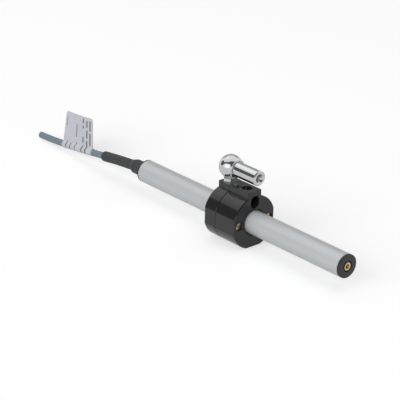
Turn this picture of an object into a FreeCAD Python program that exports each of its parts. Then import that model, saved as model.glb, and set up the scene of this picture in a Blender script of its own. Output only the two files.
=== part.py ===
import FreeCAD, Part

import math
import os

import Sketcher

# Linear potentiometer: a round aluminium sensor tube with a resistance track inside, a
# carriage that a magnetic slider drags along the track through the tube wall, and a ball
# joint on the slider for the machine's rod. +X runs along the tube to its capped end, +Z is
# up, and the origin is the middle of the flat that the slider stands on. Millimetres.

Vector = FreeCAD.Vector
doc = FreeCAD.newDocument("LinearPotentiometer")
sheet = doc.addObject("Spreadsheet::Sheet", "Sizes")

ALONG = Vector(1, 0, 0)
NODES = []

SIZES = {
    "Sensor tube": {
        "body_length": 156.0,
        "body_offset": 1.55,
        "tube_diameter": 12.7,
        "tube_wall": 0.9,
        "tube_edge": 0.25,
    },
    "Front cap and its threaded insert": {
        "cap_flange": 1.2,
        "cap_spigot": 10.0,
        "cap_edge": 0.45,
        "spigot_gap": 0.05,
        "seal_offset": 2.0,
        "seal_section": 1.0,
        "seal_gap": 0.03,
        "insert_diameter": 4.2,
        "insert_length": 7.0,
        "insert_bore": 2.5,
        "insert_groove": 1.2,
        "insert_groove_depth": 0.3,
        "insert_gap": 0.02,
        "recess_diameter": 5.9,
        "recess_depth": 0.9,
    },
    "Cable end": {
        "plug_flange": 0.9,
        "plug_spigot": 12.0,
        "boss_length": 8.0,
        "boss_diameter": 5.6,
        "boss_barb": 0.25,
        "barb_start": 5.6,
        "cable_diameter": 3.8,
        "cable_gap": 0.2,
        "chamber_diameter": 6.4,
        "chamber_start": 1.8,
        "ferrule_length": 2.4,
        "ferrule_wall": 0.5,
        "sleeve_wall": 0.95,
        "sleeve_gap": 0.05,
        "sleeve_taper": 3.4,
        "sleeve_end": 0.7,
        "sleeve_start": 11.0,
        "sleeve_length": 30.6,
    },
    "Cable label": {
        "label_start": 53.2,
        "label_length": 31.0,
        "label_wall": 0.2,
        "label_height": 19.2,
        "label_lean_front": 1.8,
        "label_lean_rear": 4.0,
    },
    "Track": {
        "board_width": 8.0,
        "board_thickness": 1.0,
        "board_drop": 1.9,
        "board_gap": 0.05,
        "board_seat": 2.6,
        "track_thickness": 0.1,
        "resistor_width": 2.2,
        "collector_width": 1.4,
        "track_spread": 1.9,
        "track_rear_margin": 7.0,
        "track_front_margin": 3.0,
        "terminal_length": 2.8,
        "terminal_width": 1.5,
        "terminal_height": 1.3,
        "terminal_pitch": 2.2,
        "lead_diameter": 0.9,
        "lead_pitch": 1.2,
        "lead_drop": 0.6,
        "lead_cover": 0.2,
        "lead_fan_start": 2.5,
        "lead_fan_end": 6.5,
    },
    "Carriage": {
        "carriage_length": 20.0,
        "carriage_gap": 0.12,
        "carriage_underside": 0.9,
        "carriage_edge": 0.4,
        "core_magnet_diameter": 4.4,
        "core_magnet_length": 7.0,
        "core_magnet_rise": 1.8,
        "core_magnet_gap": 0.05,
        "wiper_thickness": 0.15,
        "wiper_base": 5.0,
        "wiper_width": 6.2,
        "finger_width": 0.5,
        "finger_pitch": 0.75,
        "finger_reach": 3.2,
        "finger_tip": 0.7,
        "finger_gap": 0.03,
    },
    "Slider": {
        "slider_length": 23.5,
        "split_offset": 3.1,
        "ring_diameter": 29.16,
        "side_flat_depth": 0.7,
        "foot_flat_depth": 0.75,
        "block_width": 9.2,
        "block_top": 17.2,
        "slider_edge": 0.45,
        "block_edge": 0.3,
        "slider_gap": 0.25,
        "liner_wall": 0.85,
        "liner_gap": 0.08,
        "liner_seat": 4.2,
        "liner_recess": 0.4,
        "liner_edge": 0.25,
        "drag_magnet_wall": 1.6,
        "drag_magnet_length": 4.5,
        "pole_length": 2.2,
        "magnet_gap": 0.1,
        "screw_spacing": 20.6,
        "screw_diameter": 2.5,
        "screw_length": 15.5,
        "screw_head_diameter": 4.4,
        "screw_head_height": 1.6,
        "screw_recess": 1.3,
        "screw_gap": 0.15,
        "screw_slot_width": 0.6,
        "screw_slot_depth": 0.7,
        "slot_width": 5.7,
        "slot_height": 7.0,
        "slot_rise": 11.25,
        "slot_depth": 5.2,
        "drive_hole_diameter": 5.4,
        "drive_hole_x": 5.6,
    },
    "Ball joint": {
        "stud_x": 7.4,
        "ball_rise": 25.3,
        "ball_diameter": 8.0,
        "ball_gap": 0.05,
        "neck_diameter": 3.8,
        "hex_flats": 7.0,
        "hex_height": 2.1,
        "hex_turn": 18.4,
        "stud_thread": 5.0,
        "stud_thread_length": 7.6,
        "stud_gap": 0.03,
        "housing_diameter": 12.8,
        "mouth_depth": 4.3,
        "mouth_gap": 0.1,
        "ring_wire": 0.8,
        "ring_drop": 2.0,
        "ring_gap": 0.02,
        "ring_opening": 24.0,
        "shank_diameter": 8.2,
        "shank_length": 22.0,
        "shank_bore": 4.2,
        "shank_bore_depth": 12.0,
        "shank_edge": 0.4,
        "clip_wire": 0.7,
        "clip_gap": 0.05,
        "clip_hook_spread": 3.85,
    },
}

# The cable's centreline from inside the rear plug, out through its boss and down to the
# table, along, across and up from the tube's axis. It is as long as the lead shown.
CABLE_ROUTE = [
    (-71.7, 0.0, 0.0),
    (-85.7, 0.0, 0.0),
    (-99.7, 0.0, -1.35),
    (-113.2, 0.1, -3.1),
    (-127.0, 1.1, -5.3),
    (-141.0, 2.3, -7.5),
    (-155.0, 3.5, -9.65),
    (-169.0, 4.4, -11.3),
    (-179.6, 4.85, -11.88),
]


def fill_sheet():
    """Write each size as plain text with its alias, under its group's heading."""
    row = 1
    for heading, group in SIZES.items():
        sheet.set(f"A{row}", heading)
        row += 1
        for alias, value in group.items():
            sheet.set(f"A{row}", alias.replace("_", " "))
            sheet.set(f"B{row}", str(value))
            sheet.setAlias(f"B{row}", alias)
            row += 1
    doc.recompute()


fill_sheet()


def value(expression):
    """The number that an expression on the sheet gives now."""
    result = sheet.evalExpression(str(expression))
    return float(getattr(result, "Value", result))


def bind(thing, **expressions):
    """Bind properties to expressions; a double underscore stands for a dot."""
    for name, expression in expressions.items():
        thing.setExpression(name.replace("__", "."), str(expression))


def node(thing, name):
    """Give a finished sub-part its name and put it on the list of parts."""
    thing.Label = name
    NODES.append(thing)
    return thing


# Expressions that several pieces share, each from the sheet's own sizes.
AXIS_HEIGHT = "(Sizes.ring_diameter / 2 - Sizes.foot_flat_depth)"
TUBE_R = "Sizes.tube_diameter / 2"
BODY_REAR = "(Sizes.body_length / 2 - Sizes.body_offset)"
BODY_FRONT = "(Sizes.body_length / 2 + Sizes.body_offset)"
BORE_R = "(Sizes.tube_diameter / 2 - Sizes.tube_wall)"
SPIGOT_R = f"({BORE_R} - Sizes.spigot_gap)"
SEAL_GROOVE_R = f"({BORE_R} - Sizes.seal_section - 2 * Sizes.seal_gap)"
SEAL_GROOVE_WIDTH = "(Sizes.seal_section + 4 * Sizes.seal_gap)"
CABLE_R = "Sizes.cable_diameter / 2"
CABLE_BORE_R = "(Sizes.cable_diameter / 2 + Sizes.cable_gap)"
TUBE_START = f"(Sizes.plug_flange - {BODY_REAR})"
TUBE_LENGTH = "(Sizes.body_length - Sizes.plug_flange - Sizes.cap_flange)"
PLUG_INNER_X = f"(Sizes.plug_flange + Sizes.plug_spigot - {BODY_REAR})"
CAP_INNER_X = f"({BODY_FRONT} - Sizes.cap_flange - Sizes.cap_spigot)"
BOARD_TOP = f"({AXIS_HEIGHT} - Sizes.board_drop)"
BOARD_START = f"({PLUG_INNER_X} - Sizes.board_seat + Sizes.board_gap)"
BOARD_LENGTH = f"({CAP_INNER_X} - {PLUG_INNER_X} + 2 * (Sizes.board_seat - Sizes.board_gap))"
HALF_SLIDER = "Sizes.slider_length / 2"
SLIDER_BORE_R = "(Sizes.tube_diameter / 2 + Sizes.slider_gap)"
LINER_INNER_R = "(Sizes.tube_diameter / 2 + Sizes.liner_gap)"
LINER_OUTER_R = f"({LINER_INNER_R} + Sizes.liner_wall)"
LINER_SEAT_R = f"({LINER_OUTER_R} + Sizes.insert_gap)"
STACK_HALF = "(Sizes.drag_magnet_length + Sizes.pole_length / 2)"
CAVITY_HALF = f"({STACK_HALF} + Sizes.magnet_gap)"
MAGNET_R = f"({SLIDER_BORE_R} + Sizes.drag_magnet_wall)"
CAVITY_R = f"({MAGNET_R} + Sizes.magnet_gap)"
SCREW_Y = "Sizes.screw_spacing / 2"
HEAD_SEAT = f"({HALF_SLIDER} - Sizes.screw_recess - Sizes.screw_head_height)"
BALL_R = "Sizes.ball_diameter / 2"
SHANK_R = "Sizes.shank_diameter / 2"


def new_body(name, along="0", up=AXIS_HEIGHT):
    """A body whose own axes stand at a place on the tube's axis, or at another height."""
    body = doc.addObject("PartDesign::Body", name)
    bind(body, Placement__Base__x=along, Placement__Base__z=up)
    return node(body, name)


def plane_of(body, role):
    for feature in body.Origin.OriginFeatures:
        if feature.Role == role:
            return feature
    raise ValueError(role)


def new_sketch(body, role, name, offset="0"):
    """A sketch on one of the body's own planes, moved along the plane's normal."""
    sketch = body.newObject("Sketcher::SketchObject", name)
    sketch.AttachmentSupport = (plane_of(body, role), [""])
    sketch.MapMode = "FlatFace"
    bind(sketch, AttachmentOffset__Base__z=offset)
    return sketch


def dimension(sketch, kind, name, expression, *geometry):
    """A dimensional constraint with a name of its own, bound to an expression."""
    index = sketch.addConstraint(Sketcher.Constraint(kind, *geometry, value(expression)))
    sketch.renameConstraint(index, name)
    bind(sketch, **{f"Constraints__{name}": expression})


def pin_point(sketch, geometry, place, name, across, up):
    """Fix a point by its two distances from the sketch's origin."""
    for axis, kind, tag, expression in (
        (-2, "DistanceX", "x", across),
        (-1, "DistanceY", "y", up),
    ):
        if expression == "0":
            sketch.addConstraint(Sketcher.Constraint("PointOnObject", geometry, place, axis))
        else:
            dimension(sketch, kind, f"{name}{tag}", expression, -1, 1, geometry, place)


def draw_outline(sketch, corners):
    """A closed outline of straight lines through corners given as expressions."""
    points = [Vector(value(across), value(up), 0) for across, up in corners]
    count = len(points)
    for i in range(count):
        sketch.addGeometry(Part.LineSegment(points[i], points[(i + 1) % count]))
    for i in range(count):
        sketch.addConstraint(Sketcher.Constraint("Coincident", i, 2, (i + 1) % count, 1))
    for i, (across, up) in enumerate(corners):
        pin_point(sketch, i, 1, f"corner{i}", across, up)
    return sketch


def draw_circles(sketch, circles):
    """Circles given as (name, across, up, radius) expressions."""
    for name, across, up, radius in circles:
        centre = Vector(value(across), value(up), 0)
        index = sketch.addGeometry(Part.Circle(centre, Vector(0, 0, 1), value(radius)))
        dimension(sketch, "Radius", f"{name}r", radius, index)
        if (across, up) == ("0", "0"):
            sketch.addConstraint(Sketcher.Constraint("Coincident", index, 3, -1, 1))
        else:
            pin_point(sketch, index, 3, name, across, up)
    return sketch


def pad(body, sketch, name, length, reverse=False):
    feature = body.newObject("PartDesign::Pad", name)
    feature.Profile = sketch
    feature.Reversed = reverse
    bind(feature, Length=length)
    doc.recompute()
    return feature


def cut(body, sketch, name, depth, forward=False):
    """A pocket against the sketch's normal, or along it; it has to take material away."""
    before = body.Shape.Volume
    feature = body.newObject("PartDesign::Pocket", name)
    feature.Profile = sketch
    feature.Reversed = forward
    bind(feature, Length=depth)
    doc.recompute()
    if body.Shape.Volume >= before:
        raise ValueError(f"{name} cuts nothing")
    return feature


def turn(body, sketch, name, axis="H_Axis"):
    feature = body.newObject("PartDesign::Revolution", name)
    feature.Profile = sketch
    feature.ReferenceAxis = (sketch, [axis])
    feature.Angle = 360
    doc.recompute()
    return feature


def bore_out(body, sketch, name):
    """A groove turned about the sketch's own horizontal axis."""
    before = body.Shape.Volume
    feature = body.newObject("PartDesign::Groove", name)
    feature.Profile = sketch
    feature.ReferenceAxis = (sketch, ["H_Axis"])
    feature.Angle = 360
    doc.recompute()
    if body.Shape.Volume >= before:
        raise ValueError(f"{name} cuts nothing")
    return feature


def edges_of(shape, test):
    return [f"Edge{i + 1}" for i, edge in enumerate(shape.Edges) if test(edge)]


def is_ring(edge, along, radius):
    """Whether an edge is a circle about the body's X axis at a place and radius."""
    if not isinstance(edge.Curve, Part.Circle):
        return False
    centre = edge.Curve.Center
    near = abs(centre.x - along) < 1e-4 and math.hypot(centre.y, centre.z) < 1e-4
    return near and abs(edge.Curve.Radius - radius) < 1e-4


def soften(body, kind, name, base, test, size):
    """A fillet or chamfer on the edges of a feature that pass the test."""
    found = edges_of(base.Shape, test)
    if not found:
        raise ValueError(f"{name} finds no edge")
    feature = body.newObject(f"PartDesign::{kind}", name)
    feature.Base = (base, found)
    bind(feature, **{"Radius" if kind == "Fillet" else "Size": size})
    doc.recompute()
    return feature


def turned_ring(name, along, inner, outer, length, edge=None):
    """A plain ring about the tube's axis, from a place on it forwards."""
    body = new_body(name, along)
    sketch = new_sketch(body, "YZ_Plane", f"{name}_section")
    draw_circles(sketch, [("inner", "0", "0", inner), ("outer", "0", "0", outer)])
    ring = pad(body, sketch, f"{name}_pad", length)
    if edge:
        radii = (value(inner), value(outer))
        ends = (0.0, value(length))
        soften(
            body,
            "Chamfer",
            f"{name}_edges",
            ring,
            lambda e: any(is_ring(e, x, r) for x in ends for r in radii),
            edge,
        )
    return body


def corner_arc(before, corner, after, share=0.45):
    """The arc that rounds a route's corner: its start, middle, end and radius."""
    back = before - corner
    ahead = after - corner
    reach = share * min(back.Length, ahead.Length)
    back.normalize()
    ahead.normalize()
    half_turn = (math.pi - back.getAngle(ahead)) / 2
    radius = reach / math.tan(half_turn)
    inward = back + ahead
    inward.normalize()
    middle = corner + inward * (radius / math.cos(half_turn) - radius)
    return corner + back * reach, middle, corner + ahead * reach, radius


def route_edges(points, share=0.45):
    """Straight runs joined by tangent arcs through a list of points."""
    edges = []
    radii = []
    at = points[0]
    for before, corner, after in zip(points, points[1:], points[2:]):
        start, middle, end, radius = corner_arc(before, corner, after, share)
        edges.append(Part.LineSegment(at, start).toShape())
        edges.append(Part.Arc(start, middle, end).toShape())
        radii.append(radius)
        at = end
    edges.append(Part.LineSegment(at, points[-1]).toShape())
    return edges, radii


def stretch(edges, start, end):
    """The part of a route between two lengths along it."""
    kept = []
    done = 0.0
    for edge in edges:
        first = max(start - done, 0.0)
        last = min(end - done, edge.Length)
        if last - first > 1e-6:
            low = edge.getParameterByLength(first)
            high = edge.getParameterByLength(last)
            kept.append(edge.Curve.toShape(low, high))
        done += edge.Length
    return kept


def tube_along(edges, radius):
    """A round solid swept along a route."""
    first = edges[0]
    start = first.valueAt(first.FirstParameter)
    heading = first.tangentAt(first.FirstParameter)
    circle = Part.Wire(Part.Circle(start, heading, radius).toShape())
    return Part.Wire(edges).makePipeShell([circle], True, True)


def plain_feature(name, shape, place=None):
    feature = doc.addObject("Part::Feature", name)
    feature.Shape = shape
    feature.Placement = place or FreeCAD.Placement()
    return node(feature, name)


def on_axis():
    """The placement that lifts a shape from the tube's own axis to its height."""
    return FreeCAD.Placement(Vector(0, 0, value(AXIS_HEIGHT)), FreeCAD.Rotation())


# Sensor tube

def build_tube():
    turned_ring("sensor_tube", TUBE_START, BORE_R, TUBE_R, TUBE_LENGTH, "Sizes.tube_edge")


def board_slot(body, name, offset, forward):
    """The seat for the end of the track board, cut into the inner end of a spigot."""
    sketch = new_sketch(body, "YZ_Plane", f"{name}_sketch", offset)
    half = "(Sizes.board_width / 2 + Sizes.board_gap)"
    top = "(Sizes.board_gap - Sizes.board_drop)"
    bottom = "(-Sizes.board_drop - Sizes.board_thickness - Sizes.board_gap)"
    corners = [(f"-{half}", bottom), (half, bottom), (half, top), (f"-{half}", top)]
    draw_outline(sketch, corners)
    cut(body, sketch, name, "Sizes.board_seat", forward)


def build_seal(name, along):
    """An O-ring about the tube's axis."""
    ring = doc.addObject("Part::Torus", name)
    bind(
        ring,
        Radius1=f"{BORE_R} - Sizes.seal_section / 2 - Sizes.seal_gap",
        Radius2="Sizes.seal_section / 2",
        Placement__Base__x=along,
        Placement__Base__z=AXIS_HEIGHT,
    )
    ring.Placement.Rotation = FreeCAD.Rotation(Vector(0, 1, 0), 90)
    node(ring, name)


def build_end_cap():
    """The front cap: a flange as wide as the tube, and a spigot with a seal groove."""
    body = new_body("end_cap", BODY_FRONT)
    root = "-Sizes.cap_flange"
    inner = "(-Sizes.cap_flange - Sizes.cap_spigot)"
    groove = "(-Sizes.cap_flange - Sizes.seal_offset)"
    groove_end = f"({groove} - {SEAL_GROOVE_WIDTH})"
    hole_r = "(Sizes.insert_diameter / 2 + Sizes.insert_gap)"
    hole_end = "(-Sizes.insert_length - Sizes.insert_gap)"
    recess_r = "Sizes.recess_diameter / 2"
    sketch = new_sketch(body, "XZ_Plane", "end_cap_profile")
    draw_outline(
        sketch,
        [
            ("0", recess_r),
            ("0", TUBE_R),
            (root, TUBE_R),
            (root, SPIGOT_R),
            (groove, SPIGOT_R),
            (groove, SEAL_GROOVE_R),
            (groove_end, SEAL_GROOVE_R),
            (groove_end, SPIGOT_R),
            (inner, SPIGOT_R),
            (inner, "0"),
            (hole_end, "0"),
            (hole_end, hole_r),
            ("-Sizes.recess_depth", hole_r),
            ("-Sizes.recess_depth", recess_r),
        ],
    )
    turned = turn(body, sketch, "end_cap_turned")
    soften(
        body,
        "Fillet",
        "end_cap_rim",
        turned,
        lambda e: is_ring(e, 0.0, value(TUBE_R)),
        "Sizes.cap_edge",
    )
    board_slot(body, "end_cap_seat", inner, True)
    seal = f"{BODY_FRONT} + {groove} - {SEAL_GROOVE_WIDTH} / 2"
    build_seal("end_cap_seal", seal)


def build_end_insert():
    """The brass insert that the machine's screw goes into, with a band that grips."""
    body = new_body("end_insert", BODY_FRONT)
    outer = "Sizes.insert_diameter / 2"
    band = f"({outer} - Sizes.insert_groove_depth)"
    bore = "Sizes.insert_bore / 2"
    band_front = "(Sizes.insert_groove / 2 - Sizes.insert_length / 2)"
    band_rear = "(-Sizes.insert_groove / 2 - Sizes.insert_length / 2)"
    rear = "-Sizes.insert_length"
    sketch = new_sketch(body, "XZ_Plane", "end_insert_profile")
    draw_outline(
        sketch,
        [
            ("0", bore),
            ("0", outer),
            (band_front, outer),
            (band_front, band),
            (band_rear, band),
            (band_rear, outer),
            (rear, outer),
            (rear, bore),
        ],
    )
    turn(body, sketch, "end_insert_turned")


def build_cable_plug():
    """The rear plug: flange, spigot with a seal, wire chamber and a boss for the sleeve."""
    body = new_body("cable_plug", f"-{BODY_REAR}")
    inner = "(Sizes.plug_flange + Sizes.plug_spigot)"
    groove = "(Sizes.plug_flange + Sizes.seal_offset)"
    groove_end = f"({groove} + {SEAL_GROOVE_WIDTH})"
    boss_r = "Sizes.boss_diameter / 2"
    barb_r = "(Sizes.boss_diameter / 2 + Sizes.boss_barb)"
    tip = "-Sizes.boss_length"
    barb = "-Sizes.barb_start"
    chamber_r = "Sizes.chamber_diameter / 2"
    sketch = new_sketch(body, "XZ_Plane", "cable_plug_profile")
    draw_outline(
        sketch,
        [
            (tip, CABLE_BORE_R),
            (tip, boss_r),
            (barb, barb_r),
            (barb, boss_r),
            ("0", boss_r),
            ("0", TUBE_R),
            ("Sizes.plug_flange", TUBE_R),
            ("Sizes.plug_flange", SPIGOT_R),
            (groove, SPIGOT_R),
            (groove, SEAL_GROOVE_R),
            (groove_end, SEAL_GROOVE_R),
            (groove_end, SPIGOT_R),
            (inner, SPIGOT_R),
            (inner, chamber_r),
            ("Sizes.chamber_start", chamber_r),
            ("Sizes.chamber_start", CABLE_BORE_R),
        ],
    )
    turned = turn(body, sketch, "cable_plug_turned")
    soften(
        body,
        "Fillet",
        "cable_plug_rim",
        turned,
        lambda e: is_ring(e, 0.0, value(TUBE_R)),
        "Sizes.plug_flange / 2",
    )
    board_slot(body, "cable_plug_seat", inner, False)
    seal = f"{groove} + {SEAL_GROOVE_WIDTH} / 2 - {BODY_REAR}"
    build_seal("cable_plug_seal", seal)


# Cable, its sleeve and its wrapped label

def cable_points():
    height = value(AXIS_HEIGHT)
    return [Vector(along, across, up + height) for along, across, up in CABLE_ROUTE]


def build_cable():
    edges, radii = route_edges(cable_points())
    radius = value(CABLE_R)
    cable = tube_along(edges, radius)
    length = sum(edge.Length for edge in edges)
    print("cable length", round(length, 2), "radii", [round(r) for r in radii])
    print("cable volume against section by length", cable.Volume / (math.pi * radius**2 * length))
    plain_feature("cable", cable)
    build_sleeve(edges)
    build_label(edges)


def build_sleeve(edges):
    """The shrunk sleeve: wide over the plug's boss, then tight on the cable."""
    wall = value("Sizes.sleeve_wall")
    gap = value("Sizes.sleeve_gap")
    height = value(AXIS_HEIGHT)
    root = -value(BODY_REAR)
    tip = root - value("Sizes.boss_length")
    taper = value("Sizes.sleeve_taper")
    boss = value("Sizes.boss_diameter / 2 + Sizes.boss_barb") + gap
    tight = value(CABLE_R) + gap
    back = Vector(-1, 0, 0)

    def stepped(grip, wide, narrow):
        foot = Vector(root - grip, 0, height)
        straight = Part.makeCylinder(wide, root - grip - tip, foot, back)
        cone = Part.makeCone(wide, narrow, taper, Vector(tip, 0, height), back)
        return straight.fuse(cone)

    start = value("Sizes.sleeve_start")
    end = start + value("Sizes.sleeve_length")
    outer = stepped(gap, boss + wall, tight + wall).fuse(
        tube_along(stretch(edges, start, end), tight + wall)
    )
    ends = edges_of(outer, lambda e: e.BoundBox.XMax < min(v.X for v in outer.Vertexes) + 1.0)
    rounded = outer.makeFillet(value("Sizes.sleeve_end"), [outer.Edges[int(n[4:]) - 1] for n in ends])
    inner = stepped(0.0, boss, tight).fuse(tube_along(edges, tight))
    plain_feature("cable_sleeve", rounded.cut(inner))


def build_label(edges):
    """A paper flag: wrapped once round the cable, its two ends stuck together upright."""
    start = value("Sizes.label_start")
    span = stretch(edges, start, start + value("Sizes.label_length"))
    wall = value("Sizes.label_wall")
    height = value("Sizes.label_height")
    inner = value(CABLE_R) + value("Sizes.sleeve_gap")
    wrap = tube_along(span, inner + wall)
    front = span[0].valueAt(span[0].FirstParameter)
    rear = span[-1].valueAt(span[-1].LastParameter)
    front_top = front + Vector(0, value("Sizes.label_lean_front"), height)
    rear_top = rear + Vector(0, value("Sizes.label_lean_rear"), height)
    foot = Part.LineSegment(front, rear).toShape()
    head = Part.LineSegment(front_top, rear_top).toShape()
    flag = Part.makeRuledSurface(foot, head)
    flag.translate(Vector(0, -wall, 0))
    solid = flag.extrude(Vector(0, 2 * wall, 0))
    core = tube_along(edges, inner)
    plain_feature("cable_label", wrap.fuse(solid).cut(core).removeSplitter())


def build_ferrule():
    """The ring crimped on the cable's jacket, which stops it pulling out of the plug."""
    turned_ring(
        "cable_ferrule",
        f"Sizes.chamber_start + Sizes.sleeve_gap - {BODY_REAR}",
        f"{CABLE_R} + Sizes.spigot_gap",
        f"{CABLE_R} + Sizes.ferrule_wall",
        "Sizes.ferrule_length",
    )


# Track board, its two tracks, terminals and leads

def build_strip(name, along, length, across, width, up, thickness):
    strip = doc.addObject("Part::Box", name)
    bind(
        strip,
        Length=length,
        Width=width,
        Height=thickness,
        Placement__Base__x=along,
        Placement__Base__y=f"{across} - {width} / 2",
        Placement__Base__z=up,
    )
    node(strip, name)


def build_track():
    board_bottom = f"{BOARD_TOP} - Sizes.board_thickness"
    build_strip(
        "track_board",
        BOARD_START,
        BOARD_LENGTH,
        "0",
        "Sizes.board_width",
        board_bottom,
        "Sizes.board_thickness",
    )
    start = f"({PLUG_INNER_X} + Sizes.track_rear_margin)"
    length = f"({CAP_INNER_X} - Sizes.track_front_margin - {start})"
    tracks = (
        ("resistor_track", "Sizes.track_spread", "Sizes.resistor_width"),
        ("collector_track", "-Sizes.track_spread", "Sizes.collector_width"),
    )
    for name, across, width in tracks:
        build_strip(name, start, length, across, width, BOARD_TOP, "Sizes.track_thickness")


def terminal_x():
    """Where the terminals' rear edge is, just inside the plug."""
    return value(f"{PLUG_INNER_X} + Sizes.spigot_gap")


def lead_height():
    """The height of a lead's centre where it lies in its terminal."""
    return value(f"{BOARD_TOP} + Sizes.terminal_height - Sizes.lead_diameter / 2 - Sizes.lead_cover")


def build_terminals():
    length = value("Sizes.terminal_length")
    width = value("Sizes.terminal_width")
    height = value("Sizes.terminal_height")
    pitch = value("Sizes.terminal_pitch")
    groove = value("Sizes.lead_diameter / 2 + Sizes.spigot_gap")
    bottom = value(BOARD_TOP)
    terminals = []
    for step in (-1, 0, 1):
        corner = Vector(terminal_x(), step * pitch - width / 2, bottom)
        block = Part.makeBox(length, width, height, corner)
        seat = Vector(terminal_x(), step * pitch, lead_height())
        round_seat = Part.makeCylinder(groove, length, seat, ALONG)
        mouth_corner = Vector(terminal_x(), step * pitch - groove, lead_height())
        mouth = Part.makeBox(length, 2 * groove, height, mouth_corner)
        terminals.append(block.cut(round_seat.fuse(mouth)))
    plain_feature("track_terminals", Part.makeCompound(terminals))


def build_leads():
    """Three leads from the cable's cut end to the three terminals."""
    start = CABLE_ROUTE[0][0]
    pitch = value("Sizes.lead_pitch")
    spread = value("Sizes.terminal_pitch")
    low = value(f"{AXIS_HEIGHT} - Sizes.lead_drop")
    end = terminal_x() + value("Sizes.terminal_length")
    leads = []
    for step in (-1, 0, 1):
        points = [
            Vector(start, step * pitch, low),
            Vector(start + value("Sizes.lead_fan_start"), step * pitch, low),
            Vector(start + value("Sizes.lead_fan_end"), step * spread, lead_height()),
            Vector(end, step * spread, lead_height()),
        ]
        edges, _ = route_edges(points)
        leads.append(tube_along(edges, value("Sizes.lead_diameter / 2")))
    plain_feature("lead_wires", Part.makeCompound(leads))


# Carriage inside the tube

def build_carriage():
    """A moulded block that fills the bore above the track board, with a magnet each end."""
    body = new_body("carriage", "-Sizes.carriage_length / 2")
    radius = f"({BORE_R} - Sizes.carriage_gap)"
    sketch = new_sketch(body, "YZ_Plane", "carriage_section")
    draw_circles(sketch, [("outer", "0", "0", radius)])
    block = pad(body, sketch, "carriage_block", "Sizes.carriage_length")
    ends = (0.0, value("Sizes.carriage_length"))
    soften(
        body,
        "Chamfer",
        "carriage_edges",
        block,
        lambda e: any(is_ring(e, x, value(radius)) for x in ends),
        "Sizes.carriage_edge",
    )
    under = new_sketch(body, "YZ_Plane", "carriage_underside", "Sizes.carriage_length")
    low = "-Sizes.tube_diameter / 2"
    top = "-Sizes.carriage_underside"
    side = "Sizes.tube_diameter / 2"
    draw_outline(under, [(f"-{side}", low), (side, low), (side, top), (f"-{side}", top)])
    cut(body, under, "carriage_flat", "Sizes.carriage_length")
    pocket_r = "Sizes.core_magnet_diameter / 2 + Sizes.core_magnet_gap"
    depth = "Sizes.core_magnet_length + Sizes.core_magnet_gap"
    for name, offset, forward in (
        ("carriage_pocket_front", "Sizes.carriage_length", False),
        ("carriage_pocket_rear", "0", True),
    ):
        sketch = new_sketch(body, "YZ_Plane", f"{name}_sketch", offset)
        draw_circles(sketch, [("pocket", "0", "Sizes.core_magnet_rise", pocket_r)])
        cut(body, sketch, name, depth, forward)


def build_carriage_magnets():
    places = (
        ("carriage_magnet_front", "Sizes.carriage_length / 2 - Sizes.core_magnet_length"),
        ("carriage_magnet_rear", "-Sizes.carriage_length / 2"),
    )
    for name, along in places:
        magnet = doc.addObject("Part::Cylinder", name)
        magnet.Placement.Rotation = FreeCAD.Rotation(Vector(0, 1, 0), 90)
        bind(
            magnet,
            Radius="Sizes.core_magnet_diameter / 2",
            Height="Sizes.core_magnet_length",
            Placement__Base__x=along,
            Placement__Base__z=f"{AXIS_HEIGHT} + Sizes.core_magnet_rise",
        )
        node(magnet, name)


def build_wiper():
    """The wiper: a spring plate under the carriage and pairs of fingers on each track."""
    body = new_body("wiper", "0", f"{AXIS_HEIGHT} - Sizes.carriage_underside")
    thickness = "Sizes.wiper_thickness"
    plate = new_sketch(body, "XY_Plane", "wiper_plate_outline", f"-{thickness}")
    back = "-Sizes.wiper_base"
    half = "Sizes.wiper_width / 2"
    draw_outline(plate, [(back, f"-{half}"), ("0", f"-{half}"), ("0", half), (back, half)])
    pad(body, plate, "wiper_plate", thickness)
    drop = (
        "(Sizes.board_drop - Sizes.carriage_underside"
        " - Sizes.track_thickness - Sizes.finger_gap)"
    )
    reach = "Sizes.finger_reach"
    tip = "(Sizes.finger_reach + Sizes.finger_tip)"
    profile = [
        ("0", "0"),
        (reach, f"({thickness} - {drop})"),
        (tip, f"(2 * {thickness} - {drop})"),
        (tip, f"({thickness} - {drop})"),
        (reach, f"-{drop}"),
        ("0", f"-{thickness}"),
    ]
    for name, middle in (
        ("collector_finger", "-Sizes.track_spread"),
        ("resistor_finger", "Sizes.track_spread"),
    ):
        near_side = f"({middle} - (Sizes.finger_pitch + Sizes.finger_width) / 2)"
        sketch = new_sketch(body, "XZ_Plane", f"{name}_profile", f"-{near_side}")
        draw_outline(sketch, profile)
        finger = pad(body, sketch, name, "Sizes.finger_width", True)
        pair = body.newObject("PartDesign::LinearPattern", f"{name}_pair")
        pair.Originals = [finger]
        pair.Direction = (sketch, ["N_Axis"])
        pair.Reversed = True
        pair.Occurrences = 2
        bind(pair, Length="Sizes.finger_pitch")
        body.Tip = pair
        doc.recompute()


# Slider: two moulded halves round the tube, clamped together on the drag magnets

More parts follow.
